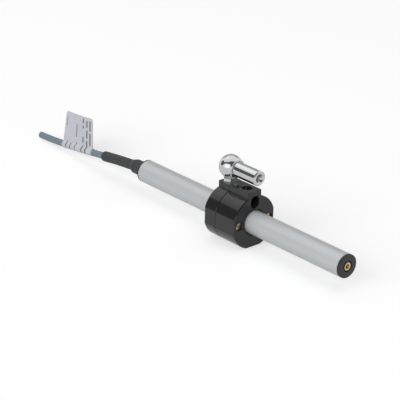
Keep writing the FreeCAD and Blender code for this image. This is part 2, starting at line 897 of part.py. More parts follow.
def draw_slot(sketch, name, up, width, height):
    """An upright slot with round ends, centred at a height above the sketch's origin."""
    radius = value(width) / 2
    run = (value(height) - value(width)) / 2
    top = Vector(0, value(up) + run, 0)
    low = Vector(0, value(up) - run, 0)
    side = Vector(radius, 0, 0)
    axis = Vector(0, 0, 1)
    sketch.addGeometry(Part.ArcOfCircle(Part.Circle(top, axis, radius), 0, math.pi))
    sketch.addGeometry(Part.LineSegment(top - side, low - side))
    sketch.addGeometry(Part.ArcOfCircle(Part.Circle(low, axis, radius), math.pi, 2 * math.pi))
    sketch.addGeometry(Part.LineSegment(low + side, top + side))
    for i in range(4):
        sketch.addConstraint(Sketcher.Constraint("Tangent", i, 2, (i + 1) % 4, 1))
    sketch.addConstraint(Sketcher.Constraint("Vertical", 1))
    run_expression = f"({height} - {width}) / 2"
    pin_point(sketch, 0, 3, f"{name}top", "0", f"{up} + {run_expression}")
    pin_point(sketch, 2, 3, f"{name}low", "0", f"{up} - {run_expression}")
    dimension(sketch, "Radius", f"{name}r", f"{width} / 2", 0)
    return sketch


def lies_at(along):
    """A test for edges that lie wholly in the plane at a place along X."""

    def test(edge):
        box = edge.BoundBox
        return abs(box.XMin - along) < 1e-4 and abs(box.XMax - along) < 1e-4

    return test


def slider_half(name, face, inward):
    """The outside of one half: a ring with flats, and its share of the block on top.

    face is the half's outer end, and inward is "-" on the front half, which is built from
    the split forwards, and "" on the rear half.
    """
    body = new_body(name)
    front = inward == "-"
    split = "-Sizes.split_offset"
    length = f"({HALF_SLIDER} + Sizes.split_offset)" if front else f"({HALF_SLIDER} - Sizes.split_offset)"
    ring = new_sketch(body, "YZ_Plane", f"{name}_round", split)
    draw_circles(ring, [("outer", "0", "0", "Sizes.ring_diameter / 2")])
    pad(body, ring, f"{name}_ring", length, not front)
    block = new_sketch(body, "YZ_Plane", f"{name}_block_outline", split)
    half = "Sizes.block_width / 2"
    top = "Sizes.block_top"
    draw_outline(block, [(f"-{half}", "0"), (half, "0"), (half, top), (f"-{half}", top)])
    pad(body, block, f"{name}_block", length, not front)
    side = "(Sizes.ring_diameter / 2 - Sizes.side_flat_depth)"
    far = "Sizes.ring_diameter"
    foot = f"-{AXIS_HEIGHT}"
    for flat, corners in (
        ("left_flat", [(f"-{far}", f"-{far}"), (f"-{side}", f"-{far}"), (f"-{side}", far), (f"-{far}", far)]),
        ("right_flat", [(side, f"-{far}"), (far, f"-{far}"), (far, far), (side, far)]),
        ("foot_flat", [(f"-{far}", f"-{far}"), (far, f"-{far}"), (far, foot), (f"-{far}", foot)]),
    ):
        sketch = new_sketch(body, "YZ_Plane", f"{name}_{flat}_sketch", face)
        draw_outline(sketch, corners)
        shaped = cut(body, sketch, f"{name}_{flat}", "Sizes.slider_length", not front)
    outer = soften(
        body, "Chamfer", f"{name}_outer_edge", shaped, lies_at(value(face)), "Sizes.slider_edge"
    )
    soften(
        body, "Chamfer", f"{name}_seam_edge", outer, lies_at(value(split)), "Sizes.block_edge"
    )
    hollow = new_sketch(body, "XZ_Plane", f"{name}_hollow_profile")
    cavity = f"{CAVITY_HALF}" if front else f"-{CAVITY_HALF}"
    seat = f"({face} {'-' if front else '+'} Sizes.liner_seat)"
    draw_outline(
        hollow,
        [
            (split, "0"),
            (split, CAVITY_R),
            (cavity, CAVITY_R),
            (cavity, SLIDER_BORE_R),
            (seat, SLIDER_BORE_R),
            (seat, LINER_SEAT_R),
            (face, LINER_SEAT_R),
            (face, "0"),
        ],
    )
    bore_out(body, hollow, f"{name}_hollow")
    return body


def screw_holes(body, name, offset, radius, depth, forward=False):
    """A pair of holes along X at the two clamp screws' places."""
    sketch = new_sketch(body, "YZ_Plane", f"{name}_sketch", offset)
    left = ("left", f"-{SCREW_Y}", "0", radius)
    right = ("right", SCREW_Y, "0", radius)
    draw_circles(sketch, [left, right])
    cut(body, sketch, name, depth, forward)


def build_front_half():
    """The front half takes the screws' heads, and has the socket and hole for a driver pin."""
    face = HALF_SLIDER
    body = slider_half("slider_front_half", face, "-")
    clearance = "Sizes.screw_diameter / 2 + Sizes.screw_gap"
    screw_holes(body, "front_screw_holes", face, clearance, "Sizes.slider_length")
    head = "Sizes.screw_head_diameter / 2 + Sizes.screw_gap"
    depth = "Sizes.screw_recess + Sizes.screw_head_height"
    screw_holes(body, "front_screw_recesses", face, head, depth)
    socket = new_sketch(body, "YZ_Plane", "driver_socket_sketch", face)
    draw_slot(socket, "socket", "Sizes.slot_rise", "Sizes.slot_width", "Sizes.slot_height")
    cut(body, socket, "driver_socket", "Sizes.slot_depth")
    hole = new_sketch(body, "XY_Plane", "driver_hole_sketch", "Sizes.block_top")
    radius = "Sizes.drive_hole_diameter / 2"
    draw_circles(hole, [("hole", "Sizes.drive_hole_x", "0", radius)])
    cut(body, hole, "driver_hole", "Sizes.block_top - Sizes.slot_rise")


def build_rear_half():
    """The rear half takes the screws' threads and the ball stud."""
    body = slider_half("slider_rear_half", f"-{HALF_SLIDER}", "")
    thread = "Sizes.screw_diameter / 2 + Sizes.insert_gap"
    depth = f"Sizes.screw_length - {HEAD_SEAT} - Sizes.split_offset + Sizes.screw_gap"
    screw_holes(body, "rear_screw_holes", "-Sizes.split_offset", thread, depth)
    hole = new_sketch(body, "XY_Plane", "stud_hole_sketch", "Sizes.block_top")
    radius = "Sizes.stud_thread / 2 + Sizes.stud_gap"
    draw_circles(hole, [("stud", "-Sizes.stud_x", "0", radius)])
    cut(body, hole, "stud_hole", "Sizes.stud_thread_length + Sizes.stud_gap")


def build_slider_inside():
    """The drag magnets with a pole ring between them, and the liners that run on the tube."""
    half_pole = "Sizes.pole_length / 2"
    magnet = "Sizes.drag_magnet_length"
    turned_ring("slider_magnet_front", half_pole, SLIDER_BORE_R, MAGNET_R, magnet)
    turned_ring("slider_magnet_rear", f"-{STACK_HALF}", SLIDER_BORE_R, MAGNET_R, magnet)
    turned_ring("slider_pole_ring", f"-{half_pole}", SLIDER_BORE_R, MAGNET_R, "Sizes.pole_length")
    length = "Sizes.liner_seat - Sizes.liner_recess"
    places = (
        ("guide_liner_front", f"{HALF_SLIDER} - Sizes.liner_seat"),
        ("guide_liner_rear", f"-{HALF_SLIDER} + Sizes.liner_recess"),
    )
    for name, along in places:
        turned_ring(name, along, LINER_INNER_R, LINER_OUTER_R, length, "Sizes.liner_edge")


def build_screws():
    """The two brass screws: a slotted head in its recess, and a shank into the rear half."""
    head_seat = value(HEAD_SEAT)
    head_height = value("Sizes.screw_head_height")
    head_r = value("Sizes.screw_head_diameter / 2")
    slot_width = value("Sizes.screw_slot_width")
    slot_depth = value("Sizes.screw_slot_depth")
    length = value("Sizes.screw_length")
    screws = []
    for side in (-1, 1):
        seat = Vector(head_seat, side * value(SCREW_Y), 0)
        head = Part.makeCylinder(head_r, head_height, seat, ALONG)
        shank = Part.makeCylinder(value("Sizes.screw_diameter / 2"), length, seat, ALONG * -1)
        corner = seat + Vector(head_height - slot_depth, -head_r, -slot_width / 2)
        slot = Part.makeBox(slot_depth, 2 * head_r, slot_width, corner)
        screws.append(head.fuse(shank).cut(slot))
    plain_feature("clamp_screws", Part.makeCompound(screws), on_axis())


# Ball joint

BALL_X = "-Sizes.stud_x"
BALL_Z = f"({AXIS_HEIGHT} + Sizes.ball_rise)"
BLOCK_Z = f"({AXIS_HEIGHT} + Sizes.block_top)"
RING_R = f"sqrt(({BALL_R} + Sizes.ring_wire / 2 + Sizes.ring_gap)^2 - Sizes.ring_drop^2)"


def primitive(kind, name, along=BALL_X, up=BALL_Z, **expressions):
    """A primitive whose place and sizes are bound to the sheet."""
    thing = doc.addObject(f"Part::{kind}", name)
    bind(thing, Placement__Base__x=along, Placement__Base__z=up, **expressions)
    return thing


def lying(thing):
    """Turn an upright primitive so that its own axis runs along X."""
    thing.Placement.Rotation = FreeCAD.Rotation(Vector(0, 1, 0), 90)
    return thing


def union(name, shapes):
    joined = doc.addObject("Part::MultiFuse", name)
    joined.Shapes = shapes
    return joined


def difference(name, base, tool):
    rest = doc.addObject("Part::Cut", name)
    rest.Base = base
    rest.Tool = tool
    return rest


def build_ball_stud():
    """The stud: a ball on a neck, a hexagon collar on the block, and a thread in it."""
    ball = primitive("Sphere", "stud_ball", Radius=BALL_R)
    neck = primitive(
        "Cylinder",
        "stud_neck",
        up=BLOCK_Z,
        Radius="Sizes.neck_diameter / 2",
        Height="Sizes.ball_rise - Sizes.block_top",
    )
    collar = primitive(
        "Prism",
        "stud_collar",
        up=BLOCK_Z,
        Circumradius="Sizes.hex_flats / sqrt(3)",
        Height="Sizes.hex_height",
        Placement__Rotation__Angle="Sizes.hex_turn",
    )
    collar.Polygon = 6
    thread = primitive(
        "Cylinder",
        "stud_thread",
        up=f"{BLOCK_Z} - Sizes.stud_thread_length",
        Radius="Sizes.stud_thread / 2",
        Height="Sizes.stud_thread_length",
    )
    node(union("ball_stud", [ball, neck, collar, thread]), "ball_stud")


def build_retaining_ring():
    """The open wire ring that holds the ball in the socket."""
    ring = primitive(
        "Torus",
        "retaining_ring",
        up=f"{BALL_Z} - Sizes.ring_drop",
        Radius1=RING_R,
        Radius2="Sizes.ring_wire / 2",
        Angle3="360 - Sizes.ring_opening",
    )
    node(ring, "retaining_ring")


def build_ball_socket():
    """The socket: a round housing open below, and a round shank with a thread."""
    housing_r = "Sizes.housing_diameter / 2"
    shell = primitive("Sphere", "socket_shell", Radius=housing_r)
    bind(shell, Angle1=f"-asin(Sizes.mouth_depth / ({housing_r}))")
    shank = lying(primitive("Cylinder", "socket_shank", Radius=SHANK_R, Height="Sizes.shank_length"))
    cavity = primitive("Sphere", "socket_cavity", Radius=f"{BALL_R} + Sizes.ball_gap")
    mouth = primitive(
        "Cylinder",
        "socket_mouth",
        up=f"{BALL_Z} - {housing_r}",
        Radius=f"{BALL_R} + Sizes.mouth_gap",
        Height=housing_r,
    )
    groove_height = "(Sizes.ring_wire + 2 * Sizes.ball_gap)"
    groove = primitive(
        "Cylinder",
        "socket_groove",
        up=f"{BALL_Z} - Sizes.ring_drop - {groove_height} / 2",
        Radius=f"{RING_R} + Sizes.ring_wire / 2 + Sizes.mouth_gap",
        Height=groove_height,
    )
    bore_start = "(Sizes.shank_length - Sizes.shank_bore_depth)"
    bore = lying(
        primitive(
            "Cylinder",
            "shank_bore",
            along=f"{BALL_X} + {bore_start}",
            Radius="Sizes.shank_bore / 2",
            Height="Sizes.shank_bore_depth",
        )
    )
    countersink = lying(
        primitive(
            "Cone",
            "shank_countersink",
            along=f"{BALL_X} + Sizes.shank_length - Sizes.shank_edge",
            Radius1="Sizes.shank_bore / 2",
            Radius2="Sizes.shank_bore / 2 + Sizes.shank_edge",
            Height="Sizes.shank_edge",
        )
    )
    hollow = union("socket_hollow", [cavity, mouth, groove, bore, countersink])
    whole = union("socket_blank", [shell, shank])
    bored = difference("socket_bored", whole, hollow)
    doc.recompute()
    tip = value(f"{BALL_X} + Sizes.shank_length")
    rim = edges_of(
        bored.Shape,
        lambda e: lies_at(tip)(e) and abs(e.Curve.Radius - value(SHANK_R)) < 1e-4,
    )
    edge = value("Sizes.shank_edge")
    socket = doc.addObject("Part::Chamfer", "ball_socket")
    socket.Base = bored
    socket.Edges = [(int(name[4:]), edge, edge) for name in rim]
    node(socket, "ball_socket")


def build_safety_clip():
    """The wire clip: over the shank's root, down both sides and under the housing's rim."""
    wire = value("Sizes.clip_wire / 2")
    gap = value("Sizes.clip_gap")
    shank_r = value(SHANK_R)
    root = math.sqrt(value("Sizes.housing_diameter / 2") ** 2 - shank_r**2) + wire + gap
    reach = shank_r + wire + gap
    low = -value("Sizes.mouth_depth") - wire - gap
    spread = value("Sizes.clip_hook_spread")
    knee = (spread + reach) / 2

    def leg(side):
        return [
            Vector(-wire, side * spread, low),
            Vector(root, side * knee, low),
            Vector(root, side * reach, low / 2),
            Vector(root, side * reach, 0),
        ]

    near, _ = route_edges(leg(-1))
    far, _ = route_edges(leg(1)[::-1])
    bow = Part.Arc(Vector(root, -reach, 0), Vector(root, 0, reach), Vector(root, reach, 0))
    clip = tube_along(near + [bow.toShape()] + far, wire)
    centre = Vector(value(BALL_X), 0, value(BALL_Z))
    place = FreeCAD.Placement(centre, FreeCAD.Rotation())
    plain_feature("safety_clip", clip, place)


BUILDERS = (
    build_tube,
    build_end_cap,
    build_end_insert,
    build_cable_plug,
    build_cable,
    build_ferrule,
    build_track,
    build_terminals,
    build_leads,
    build_carriage,
    build_carriage_magnets,
    build_wiper,
    build_front_half,
    build_rear_half,
    build_slider_inside,
    build_screws,
    build_ball_stud,
    build_retaining_ring,
    build_ball_socket,
    build_safety_clip,
)


def check_document():
    """Stop if anything in the document failed, or a sub-part has no sound solid."""
    doc.recompute()
    for thing in doc.Objects:
        if "Invalid" in thing.State or "Error" in thing.State:
            raise ValueError(f"{thing.Name} failed: {thing.State}")
    for part in NODES:
        if part.Shape.isNull() or not part.Shape.isValid() or not part.Shape.Solids:
            raise ValueError(f"{part.Label} has no sound solid")


for build in BUILDERS:
    build()
check_document()
os.makedirs("parts", exist_ok=True)
for part in NODES:
    part.Shape.exportStep(f"parts/{part.Label}.step")
    box = part.Shape.BoundBox
    low = (round(box.XMin, 2), round(box.YMin, 2), round(box.ZMin, 2))
    high = (round(box.XMax, 2), round(box.YMax, 2), round(box.ZMax, 2))
    print(part.Label, len(part.Shape.Solids), round(part.Shape.Volume, 1), low, high)
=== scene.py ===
import logging
import math
from dataclasses import dataclass
from enum import Enum
from typing import Any, Callable, Iterable, Union

import bpy
from mathutils import Matrix, Vector


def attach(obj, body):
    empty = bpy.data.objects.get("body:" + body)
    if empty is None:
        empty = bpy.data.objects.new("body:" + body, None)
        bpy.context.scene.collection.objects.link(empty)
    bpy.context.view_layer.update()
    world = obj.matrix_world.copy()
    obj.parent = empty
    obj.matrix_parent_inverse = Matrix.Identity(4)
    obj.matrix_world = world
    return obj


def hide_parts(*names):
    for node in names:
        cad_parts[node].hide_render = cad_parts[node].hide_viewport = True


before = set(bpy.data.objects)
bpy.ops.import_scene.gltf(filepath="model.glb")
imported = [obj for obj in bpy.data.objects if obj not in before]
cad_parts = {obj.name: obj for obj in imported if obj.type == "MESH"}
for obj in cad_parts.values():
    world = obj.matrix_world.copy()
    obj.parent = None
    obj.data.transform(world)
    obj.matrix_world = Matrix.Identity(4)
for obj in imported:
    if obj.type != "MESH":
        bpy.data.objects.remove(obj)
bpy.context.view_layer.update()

log = logging.getLogger("potentiometer")
Triple = tuple[float, float, float]
MM = 0.001
MICRON = 0.001 * MM
WHITE = (1.0, 1.0, 1.0, 1.0)
ORIGIN: Triple = (0.0, 0.0, 0.0)
AXIS_HEIGHT = 0.01383  # of the tube's axis in the row frame


class Body(Enum):
    """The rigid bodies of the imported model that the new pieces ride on."""

    SENSOR = "sensor"
    SOCKET = "socket"


class Axis(Enum):
    """A direction of the row frame, as an index into a point."""

    X = 0
    Y = 1
    Z = 2


class Signal:
    """A number socket whose Python operators add Math nodes."""

    def __init__(self, board: "ShaderBoard", socket: bpy.types.NodeSocket) -> None:
        """Wrap a socket.

        Args:
            board: The shader board that the socket is on.
            socket: The output socket that carries the number.
        """
        self.board = board
        self.socket = socket

    def maths(self, operation: str, *operands: "Number", clamp: bool = False) -> "Signal":
        """Add a Math node to this signal's board.

        Args:
            operation: The Math node's operation.
            operands: The numbers or signals that it works on, in their order.
            clamp: Whether the result is kept from 0 to 1.

        Returns:
            The node's result.
        """
        settings = {"operation": operation, "use_clamp": clamp}
        node = self.board.add("ShaderNodeMath", settings, dict(enumerate(operands)))
        return Signal(self.board, node.outputs[0])

    def __add__(self, other: "Number") -> "Signal":
        """This plus other."""
        return self.maths("ADD", self, other)

    def __sub__(self, other: "Number") -> "Signal":
        """This minus other."""
        return self.maths("SUBTRACT", self, other)

    def __rsub__(self, other: "Number") -> "Signal":
        """Other minus this."""
        return self.maths("SUBTRACT", other, self)

    def __mul__(self, other: "Number") -> "Signal":
        """This times other."""
        return self.maths("MULTIPLY", self, other)

    def __truediv__(self, other: "Number") -> "Signal":
        """This divided by other."""
        return self.maths("DIVIDE", self, other)

    def __rtruediv__(self, other: "Number") -> "Signal":
        """Other divided by this."""
        return self.maths("DIVIDE", other, self)

    def __abs__(self) -> "Signal":
        """The size of this, without its sign."""
        return self.maths("ABSOLUTE", self)

    __radd__ = __add__
    __rmul__ = __mul__

    def sine(self) -> "Signal":
        """The sine of this, in radians."""
        return self.maths("SINE", self)

    def root(self) -> "Signal":
        """The square root of this."""
        return self.maths("SQRT", self)

    def most(self, other: "Number") -> "Signal":
        """The larger of this and other."""
        return self.maths("MAXIMUM", self, other)

    def within(self, low: float, high: float, soft: float) -> "Signal":
        """A mask of where this lies between two values.

        Args:
            low: The lower edge.
            high: The upper edge.
            soft: The width of each soft edge.

        Returns:
            A signal from 0 outside to 1 inside.
        """
        middle, half = (low + high) / 2, (high - low) / 2
        inward = (half - abs(self - middle)) / soft
        return self.maths("ADD", inward, 0.5, clamp=True)

    def ramp(self, low: float, high: float) -> "Signal":
        """This from 0 at a low value to 1 at a high one, with soft ends.

        Args:
            low: The value that gives 0.
            high: The value that gives 1.

        Returns:
            The ramped signal.
        """
        node = self.board.add(
            "ShaderNodeMapRange",
            {"interpolation_type": "SMOOTHSTEP"},
            {"Value": self, "From Min": low, "From Max": high},
        )
        return Signal(self.board, node.outputs[0])


Number = Union[float, int, Signal]


class ShaderBoard:
    """The nodes of one material or world, with one way to add any of them.

    MIX_COLOURS and MIX_RESULT are the numbers of a Mix node's colour sockets.
    """

    MIX_COLOURS = (6, 7)
    MIX_RESULT = 2

    def __init__(self, owner: Union[bpy.types.Material, bpy.types.World]) -> None:
        """Start with no nodes.

        Args:
            owner: The material or world that the nodes belong to.
        """
        owner.use_nodes = True
        self.owner = owner
        self.tree = owner.node_tree
        self.tree.nodes.clear()

    def add(self, kind: str, settings: dict[str, Any], inputs: dict[Any, Any]) -> bpy.types.Node:
        """Add a node, set its settings, then feed its sockets.

        Args:
            kind: The node's Blender type.
            settings: The node's own properties.
            inputs: Socket names or numbers to values, signals or sockets.

        Returns:
            The new node.
        """
        node = self.tree.nodes.new(kind)
        for name, setting in settings.items():
            setattr(node, name, setting)
        for name, value in inputs.items():
            if isinstance(value, Signal):
                value = value.socket
            if isinstance(value, bpy.types.NodeSocket):
                self.tree.links.new(value, node.inputs[name])
            else:
                node.inputs[name].default_value = value
        return node

    def place(self, along: float = 1.0, centre: Triple = ORIGIN) -> bpy.types.NodeSocket:
        """The point on the piece in the row frame, scaled along X about a centre.

        Args:
            along: How many times X is scaled, so less than 1 draws a pattern out along X.
            centre: The point that becomes the origin.

        Returns:
            A vector socket.
        """
        point = self.add("ShaderNodeTexCoord", {}, {}).outputs["Object"]
        scale = (along, 1.0, 1.0)
        moved = tuple(-middle * factor for middle, factor in zip(centre, scale))
        node = self.add("ShaderNodeMapping", {}, {"Vector": point, "Location": moved, "Scale": scale})
        return node.outputs[0]

    def part(self, vector: bpy.types.NodeSocket, axis: Axis) -> Signal:
        """One of a vector's three numbers."""
        node = self.add("ShaderNodeSeparateXYZ", {}, {0: vector})
        return Signal(self, node.outputs[axis.value])

    def noise(
        self, vector: bpy.types.NodeSocket, scale: float, detail: float = 2.0, rough: float = 0.5
    ) -> Signal:
        """A noise pattern, about 0.5 in the middle.

        Args:
            vector: Where the pattern is read.
            scale: Its cells in a metre.
            detail: How many finer layers it has.
            rough: How strong the finer layers are.

        Returns:
            The pattern's value.
        """
        inputs = {"Vector": vector, "Scale": scale, "Detail": detail, "Roughness": rough}
        return Signal(self, self.add("ShaderNodeTexNoise", {}, inputs).outputs[0])

    def cells(self, vector: bpy.types.NodeSocket, scale: float) -> Signal:
        """The distance to the nearest point of a scattered pattern."""
        node = self.add("ShaderNodeTexVoronoi", {}, {"Vector": vector, "Scale": scale})
        return Signal(self, node.outputs["Distance"])

    def mix(self, factor: Number, first: Any, second: Any) -> bpy.types.NodeSocket:
        """Blend two colours.

        Args:
            factor: 0 for the first colour and 1 for the second.
            first: A colour as three numbers, or a socket.
            second: A colour as three numbers, or a socket.

        Returns:
            A colour socket.
        """
        pair = ((*c, 1.0) if isinstance(c, tuple) else c for c in (first, second))
        inputs = {0: factor, **dict(zip(self.MIX_COLOURS, pair))}
        return self.add("ShaderNodeMix", {"data_type": "RGBA"}, inputs).outputs[self.MIX_RESULT]

    def bump(self, height: Signal, depth: float, strength: float) -> bpy.types.NodeSocket:
        """A normal from a height.

        Args:
            height: The height, from 0 to 1.
            depth: How deep 1 is, in metres.
            strength: How much of the bump shows.

        Returns:
            A normal socket.
        """
        inputs = {"Height": height, "Distance": depth, "Strength": strength}
        return self.add("ShaderNodeBump", {}, inputs).outputs[0]

    def surface(self, **sockets: Any) -> bpy.types.Material:
        """Finish the material with a Principled shader.

        Args:
            sockets: Values for its sockets, with an underscore for each space.

        Returns:
            The finished material.
        """
        inputs = {name.replace("_", " "): value for name, value in sockets.items()}
        shader = self.add("ShaderNodeBsdfPrincipled", {}, inputs)
        self.add("ShaderNodeOutputMaterial", {}, {"Surface": shader.outputs[0]})
        return self.owner


# The finishes' materials by name, apart from the frame's own, some of which share a name.
MADE: dict[str, bpy.types.Material] = {}


@dataclass(frozen=True)
class Finish:
    """A finish of the object's surfaces, made into one material when first used."""

    name: str

    def build(self, board: ShaderBoard) -> bpy.types.Material:
        """Make the material on an empty shader board."""
        raise NotImplementedError

    def material(self) -> bpy.types.Material:
        """Make the finish's material the first time, and find it again after that.

        Returns:
            The material.
        """
        if self.name not in MADE:
            MADE[self.name] = self.build(ShaderBoard(bpy.data.materials.new(self.name)))
        return MADE[self.name]


@dataclass(frozen=True)
class ExtrudedMetal(Finish):
    """Anodised or rolled metal: draw lines along X, faint marks across and a clouded sheen."""

    colour: Triple = (0.7, 0.7, 0.7)
    shade: Triple = (0.6, 0.6, 0.6)
    roughness: float = 0.4
    metallic: float = 1.0
    relief: float = 1.5 * MICRON
    mark_scale: float = 2600.0
    line_scale: float = 5200.0
    cloud_scale: float = 60.0

    def build(self, board: ShaderBoard) -> bpy.types.Material:
        """Make the material.

        Args:
            board: Its empty shader board.

        Returns:
            The finished material.
        """
        marks = board.noise(board.place(along=6.0), self.mark_scale, 3.0, 0.6)
        lines = board.noise(board.place(along=0.04), self.line_scale)
        clouds = board.noise(board.place(along=0.35), self.cloud_scale)
        return board.surface(
            Base_Color=board.mix(clouds.ramp(0.3, 0.7), self.colour, self.shade),
            Metallic=self.metallic,
            Roughness=self.roughness + (clouds - 0.5) * 0.08 + (lines - 0.5) * 0.06,
            Normal=board.bump(marks * 0.4 + lines * 0.6, self.relief, 0.6),
        )


@dataclass(frozen=True)
class PlatedMetal(Finish):
    """Bright plating: a near mirror with a faint orange peel and thin tarnish."""

    colour: Triple = (0.8, 0.8, 0.8)
    tint: Triple = (0.7, 0.72, 0.76)
    roughness: float = 0.12
    peel_depth: float = 2 * MICRON
    peel_scale: float = 1500.0
    cloud_scale: float = 220.0
    speck_scale: float = 2600.0

    def build(self, board: ShaderBoard) -> bpy.types.Material:
        """Make the material.

        Args:
            board: Its empty shader board.

        Returns:
            The finished material.
        """
        place = board.place()
        clouds = board.noise(place, self.cloud_scale, 3.0)
        peel = board.noise(place, self.peel_scale)
        specks = board.cells(place, self.speck_scale).ramp(0.16, 0.02)
        return board.surface(
            Base_Color=board.mix(clouds.ramp(0.35, 0.75), self.colour, self.tint),
            Metallic=1.0,
            Roughness=self.roughness + (clouds - 0.5) * 0.08 + specks * 0.05,
            Normal=board.bump(peel, self.peel_depth, 0.5),
        )


@dataclass(frozen=True)
class TurnedMetal(Finish):
    """Metal turned on a lathe, with fine rings about an axis along X and painted shade darkening the wall
    of its bore.

    Two like pieces on either side of the middle plane each have their axis `aside` of it.
    """

    colour: Triple = (0.8, 0.6, 0.3)
    shade: Triple = (0.6, 0.4, 0.2)
    roughness: float = 0.25
    # painted shade: a darker, more saturated colour for the bore's wall that stands in for the shade in
    # the hole
    bore_painted_shade: Triple = (0.5, 0.3, 0.1)
    bore: float = 1.4 * MM
    bore_edge: float = 0.1 * MM
    aside: float = 0.0
    ring_pitch: float = 0.12 * MM
    ring_depth: float = 3 * MICRON
    wander_scale: float = 500.0
    cloud_scale: float = 260.0

    def build(self, board: ShaderBoard) -> bpy.types.Material:
        """Make the material.

        Args:
            board: Its empty shader board.

        Returns:
            The finished material.
        """
        place = board.place(centre=(0.0, 0.0, AXIS_HEIGHT))
        across = abs(board.part(place, Axis.Y)) - self.aside
        up = board.part(place, Axis.Z)
        along = board.part(place, Axis.X)
        radius = (across * across + up * up).root()
        wander = board.noise(place, self.wander_scale)
        rings = ((radius + along) * (2 * math.pi / self.ring_pitch) + wander * 2.0).sine() * 0.5 + 0.5
        clouds = board.noise(place, self.cloud_scale, 3.0)
        face = board.mix(clouds.ramp(0.3, 0.8), self.colour, self.shade)
        # painted shade: inside the bore's radius the colour turns to the darker bore colour
        inside = radius.ramp(self.bore, self.bore - self.bore_edge)
        return board.surface(
            Base_Color=board.mix(inside, face, self.bore_painted_shade),
            Metallic=1.0,
            Roughness=self.roughness + (clouds - 0.5) * 0.12 + rings * 0.04,
            Normal=board.bump(rings, self.ring_depth, 0.35),
        )


@dataclass(frozen=True)
class MouldedPlastic(Finish):
    """Moulded plastic with a fine etched grain and faint flow clouds."""

    colour: Triple = (0.03, 0.03, 0.03)
    bloom: Triple = (0.05, 0.05, 0.05)
    roughness: float = 0.5
    grain_depth: float = 12 * MICRON
    grain_scale: float = 3800.0
    flow_scale: float = 90.0
    rub_scale: float = 420.0

    def build(self, board: ShaderBoard) -> bpy.types.Material:
        """Make the material.

        Args:
            board: Its empty shader board.

        Returns:
            The finished material.
        """
        place = board.place()
        grain = board.noise(place, self.grain_scale, 3.0, 0.6)
        flow = board.noise(board.place(along=0.5), self.flow_scale, 4.0)
        rub = board.noise(place, self.rub_scale, 3.0).ramp(0.55, 0.8)
        return board.surface(
            Base_Color=board.mix(flow.ramp(0.35, 0.8) * 0.7 + rub * 0.3, self.colour, self.bloom),
            Roughness=self.roughness + (flow - 0.5) * 0.12 - rub * 0.05 + (grain - 0.5) * 0.1,
            Normal=board.bump(grain, self.grain_depth, 0.45),
        )


@dataclass(frozen=True)
class SoftJacket(Finish):
    """Extruded or shrunk rubbery plastic: matte, with streaks along it and dust."""

    colour: Triple = (0.2, 0.25, 0.3)
    dusty: Triple = (0.3, 0.33, 0.36)
    roughness: float = 0.55
    streak_depth: float = 10 * MICRON
    fold_depth: float = 0.0
    streak_scale: float = 1500.0
    fold_scale: float = 850.0
    dust_scale: float = 900.0

    def build(self, board: ShaderBoard) -> bpy.types.Material:
        """Make the material.

        Args:
            board: Its empty shader board.

        Returns:
            The finished material.
        """
        streaks = board.noise(board.place(along=0.08), self.streak_scale, 3.0)
        folds = board.noise(board.place(along=1.3), self.fold_scale)
        dust = board.noise(board.place(), self.dust_scale, 4.0, 0.65).ramp(0.45, 0.75)
        height = streaks * self.streak_depth + folds * self.fold_depth
        deepest = self.streak_depth + self.fold_depth
        return board.surface(
            Base_Color=board.mix(dust * 0.6 + streaks * 0.3, self.colour, self.dusty),
            Roughness=self.roughness + (streaks - 0.5) * 0.1 + dust * 0.08,
            Normal=board.bump(height / deepest, deepest, 0.6),
        )


@dataclass(frozen=True)
class LabelFilm(Finish):
    """White film with plain ruled bars, placed by the label's own UV map.

    Each column gives its middle along the cable and its width, then where each of its
    bars starts and ends, counted down from the flag's top edge. All are shares, and both
    faces carry the same bars.
    """

    colour: Triple = (0.60, 0.625, 0.67)
    aged: Triple = (0.54, 0.565, 0.61)
    ink: Triple = (0.06, 0.06, 0.07)
    columns: tuple[tuple[float, float, tuple[tuple[float, float], ...]], ...] = ()
    soft_side: float = 0.006
    soft_end: float = 0.008
    mottle_depth: float = 20 * MICRON
    mottle_scale: float = 700.0
    wear_scale: float = 2600.0

    def build(self, board: ShaderBoard) -> bpy.types.Material:
        """Make the material.

        Args:
            board: Its empty shader board.

        Returns:
            The finished material.
        """
        chart = board.add("ShaderNodeTexCoord", {}, {}).outputs["UV"]
        along = board.part(chart, Axis.X)
        down = 1.0 - abs(board.part(chart, Axis.Y) * 2.0 - 1.0)
        printed: Number = 0.0
        for middle, width, bars in self.columns:
            across = along.within(middle - width / 2, middle + width / 2, self.soft_side)
            for start, end in bars:
                printed = across * down.within(start, end, self.soft_end) + printed
        place = board.place()
        mottle = board.noise(place, self.mottle_scale, 4.0)
        wear = board.noise(place, self.wear_scale).ramp(0.2, 0.5)
        paper = board.mix(mottle.ramp(0.35, 0.75), self.colour, self.aged)
        return board.surface(
            Base_Color=board.mix(printed * wear * 0.9, paper, self.ink),
            Roughness=0.42 + (mottle - 0.5) * 0.15,
            Normal=board.bump(mottle, self.mottle_depth, 0.3),
        )


@dataclass(frozen=True)
class Laminate(Finish):
    """Board laminate with its cloth's weave showing faintly through."""

    colour: Triple = (0.10, 0.26, 0.17)
    weave: Triple = (0.15, 0.34, 0.22)
    thread_pitch: float = 0.6 * MM
    weave_depth: float = 10 * MICRON

    def build(self, board: ShaderBoard) -> bpy.types.Material:
        """Make the material.

        Args:
            board: Its empty shader board.

        Returns:
            The finished material.
        """
        place = board.place()
        turns = 2 * math.pi / self.thread_pitch
        warp = (board.part(place, Axis.X) * turns).sine()
        weft = (board.part(place, Axis.Y) * turns).sine()
        cloth = warp * weft * 0.5 + 0.5
        return board.surface(
            Base_Color=board.mix(cloth * 0.6, self.colour, self.weave),
            Roughness=0.32 + cloth * 0.08,
            Normal=board.bump(cloth, self.weave_depth, 0.4),
        )


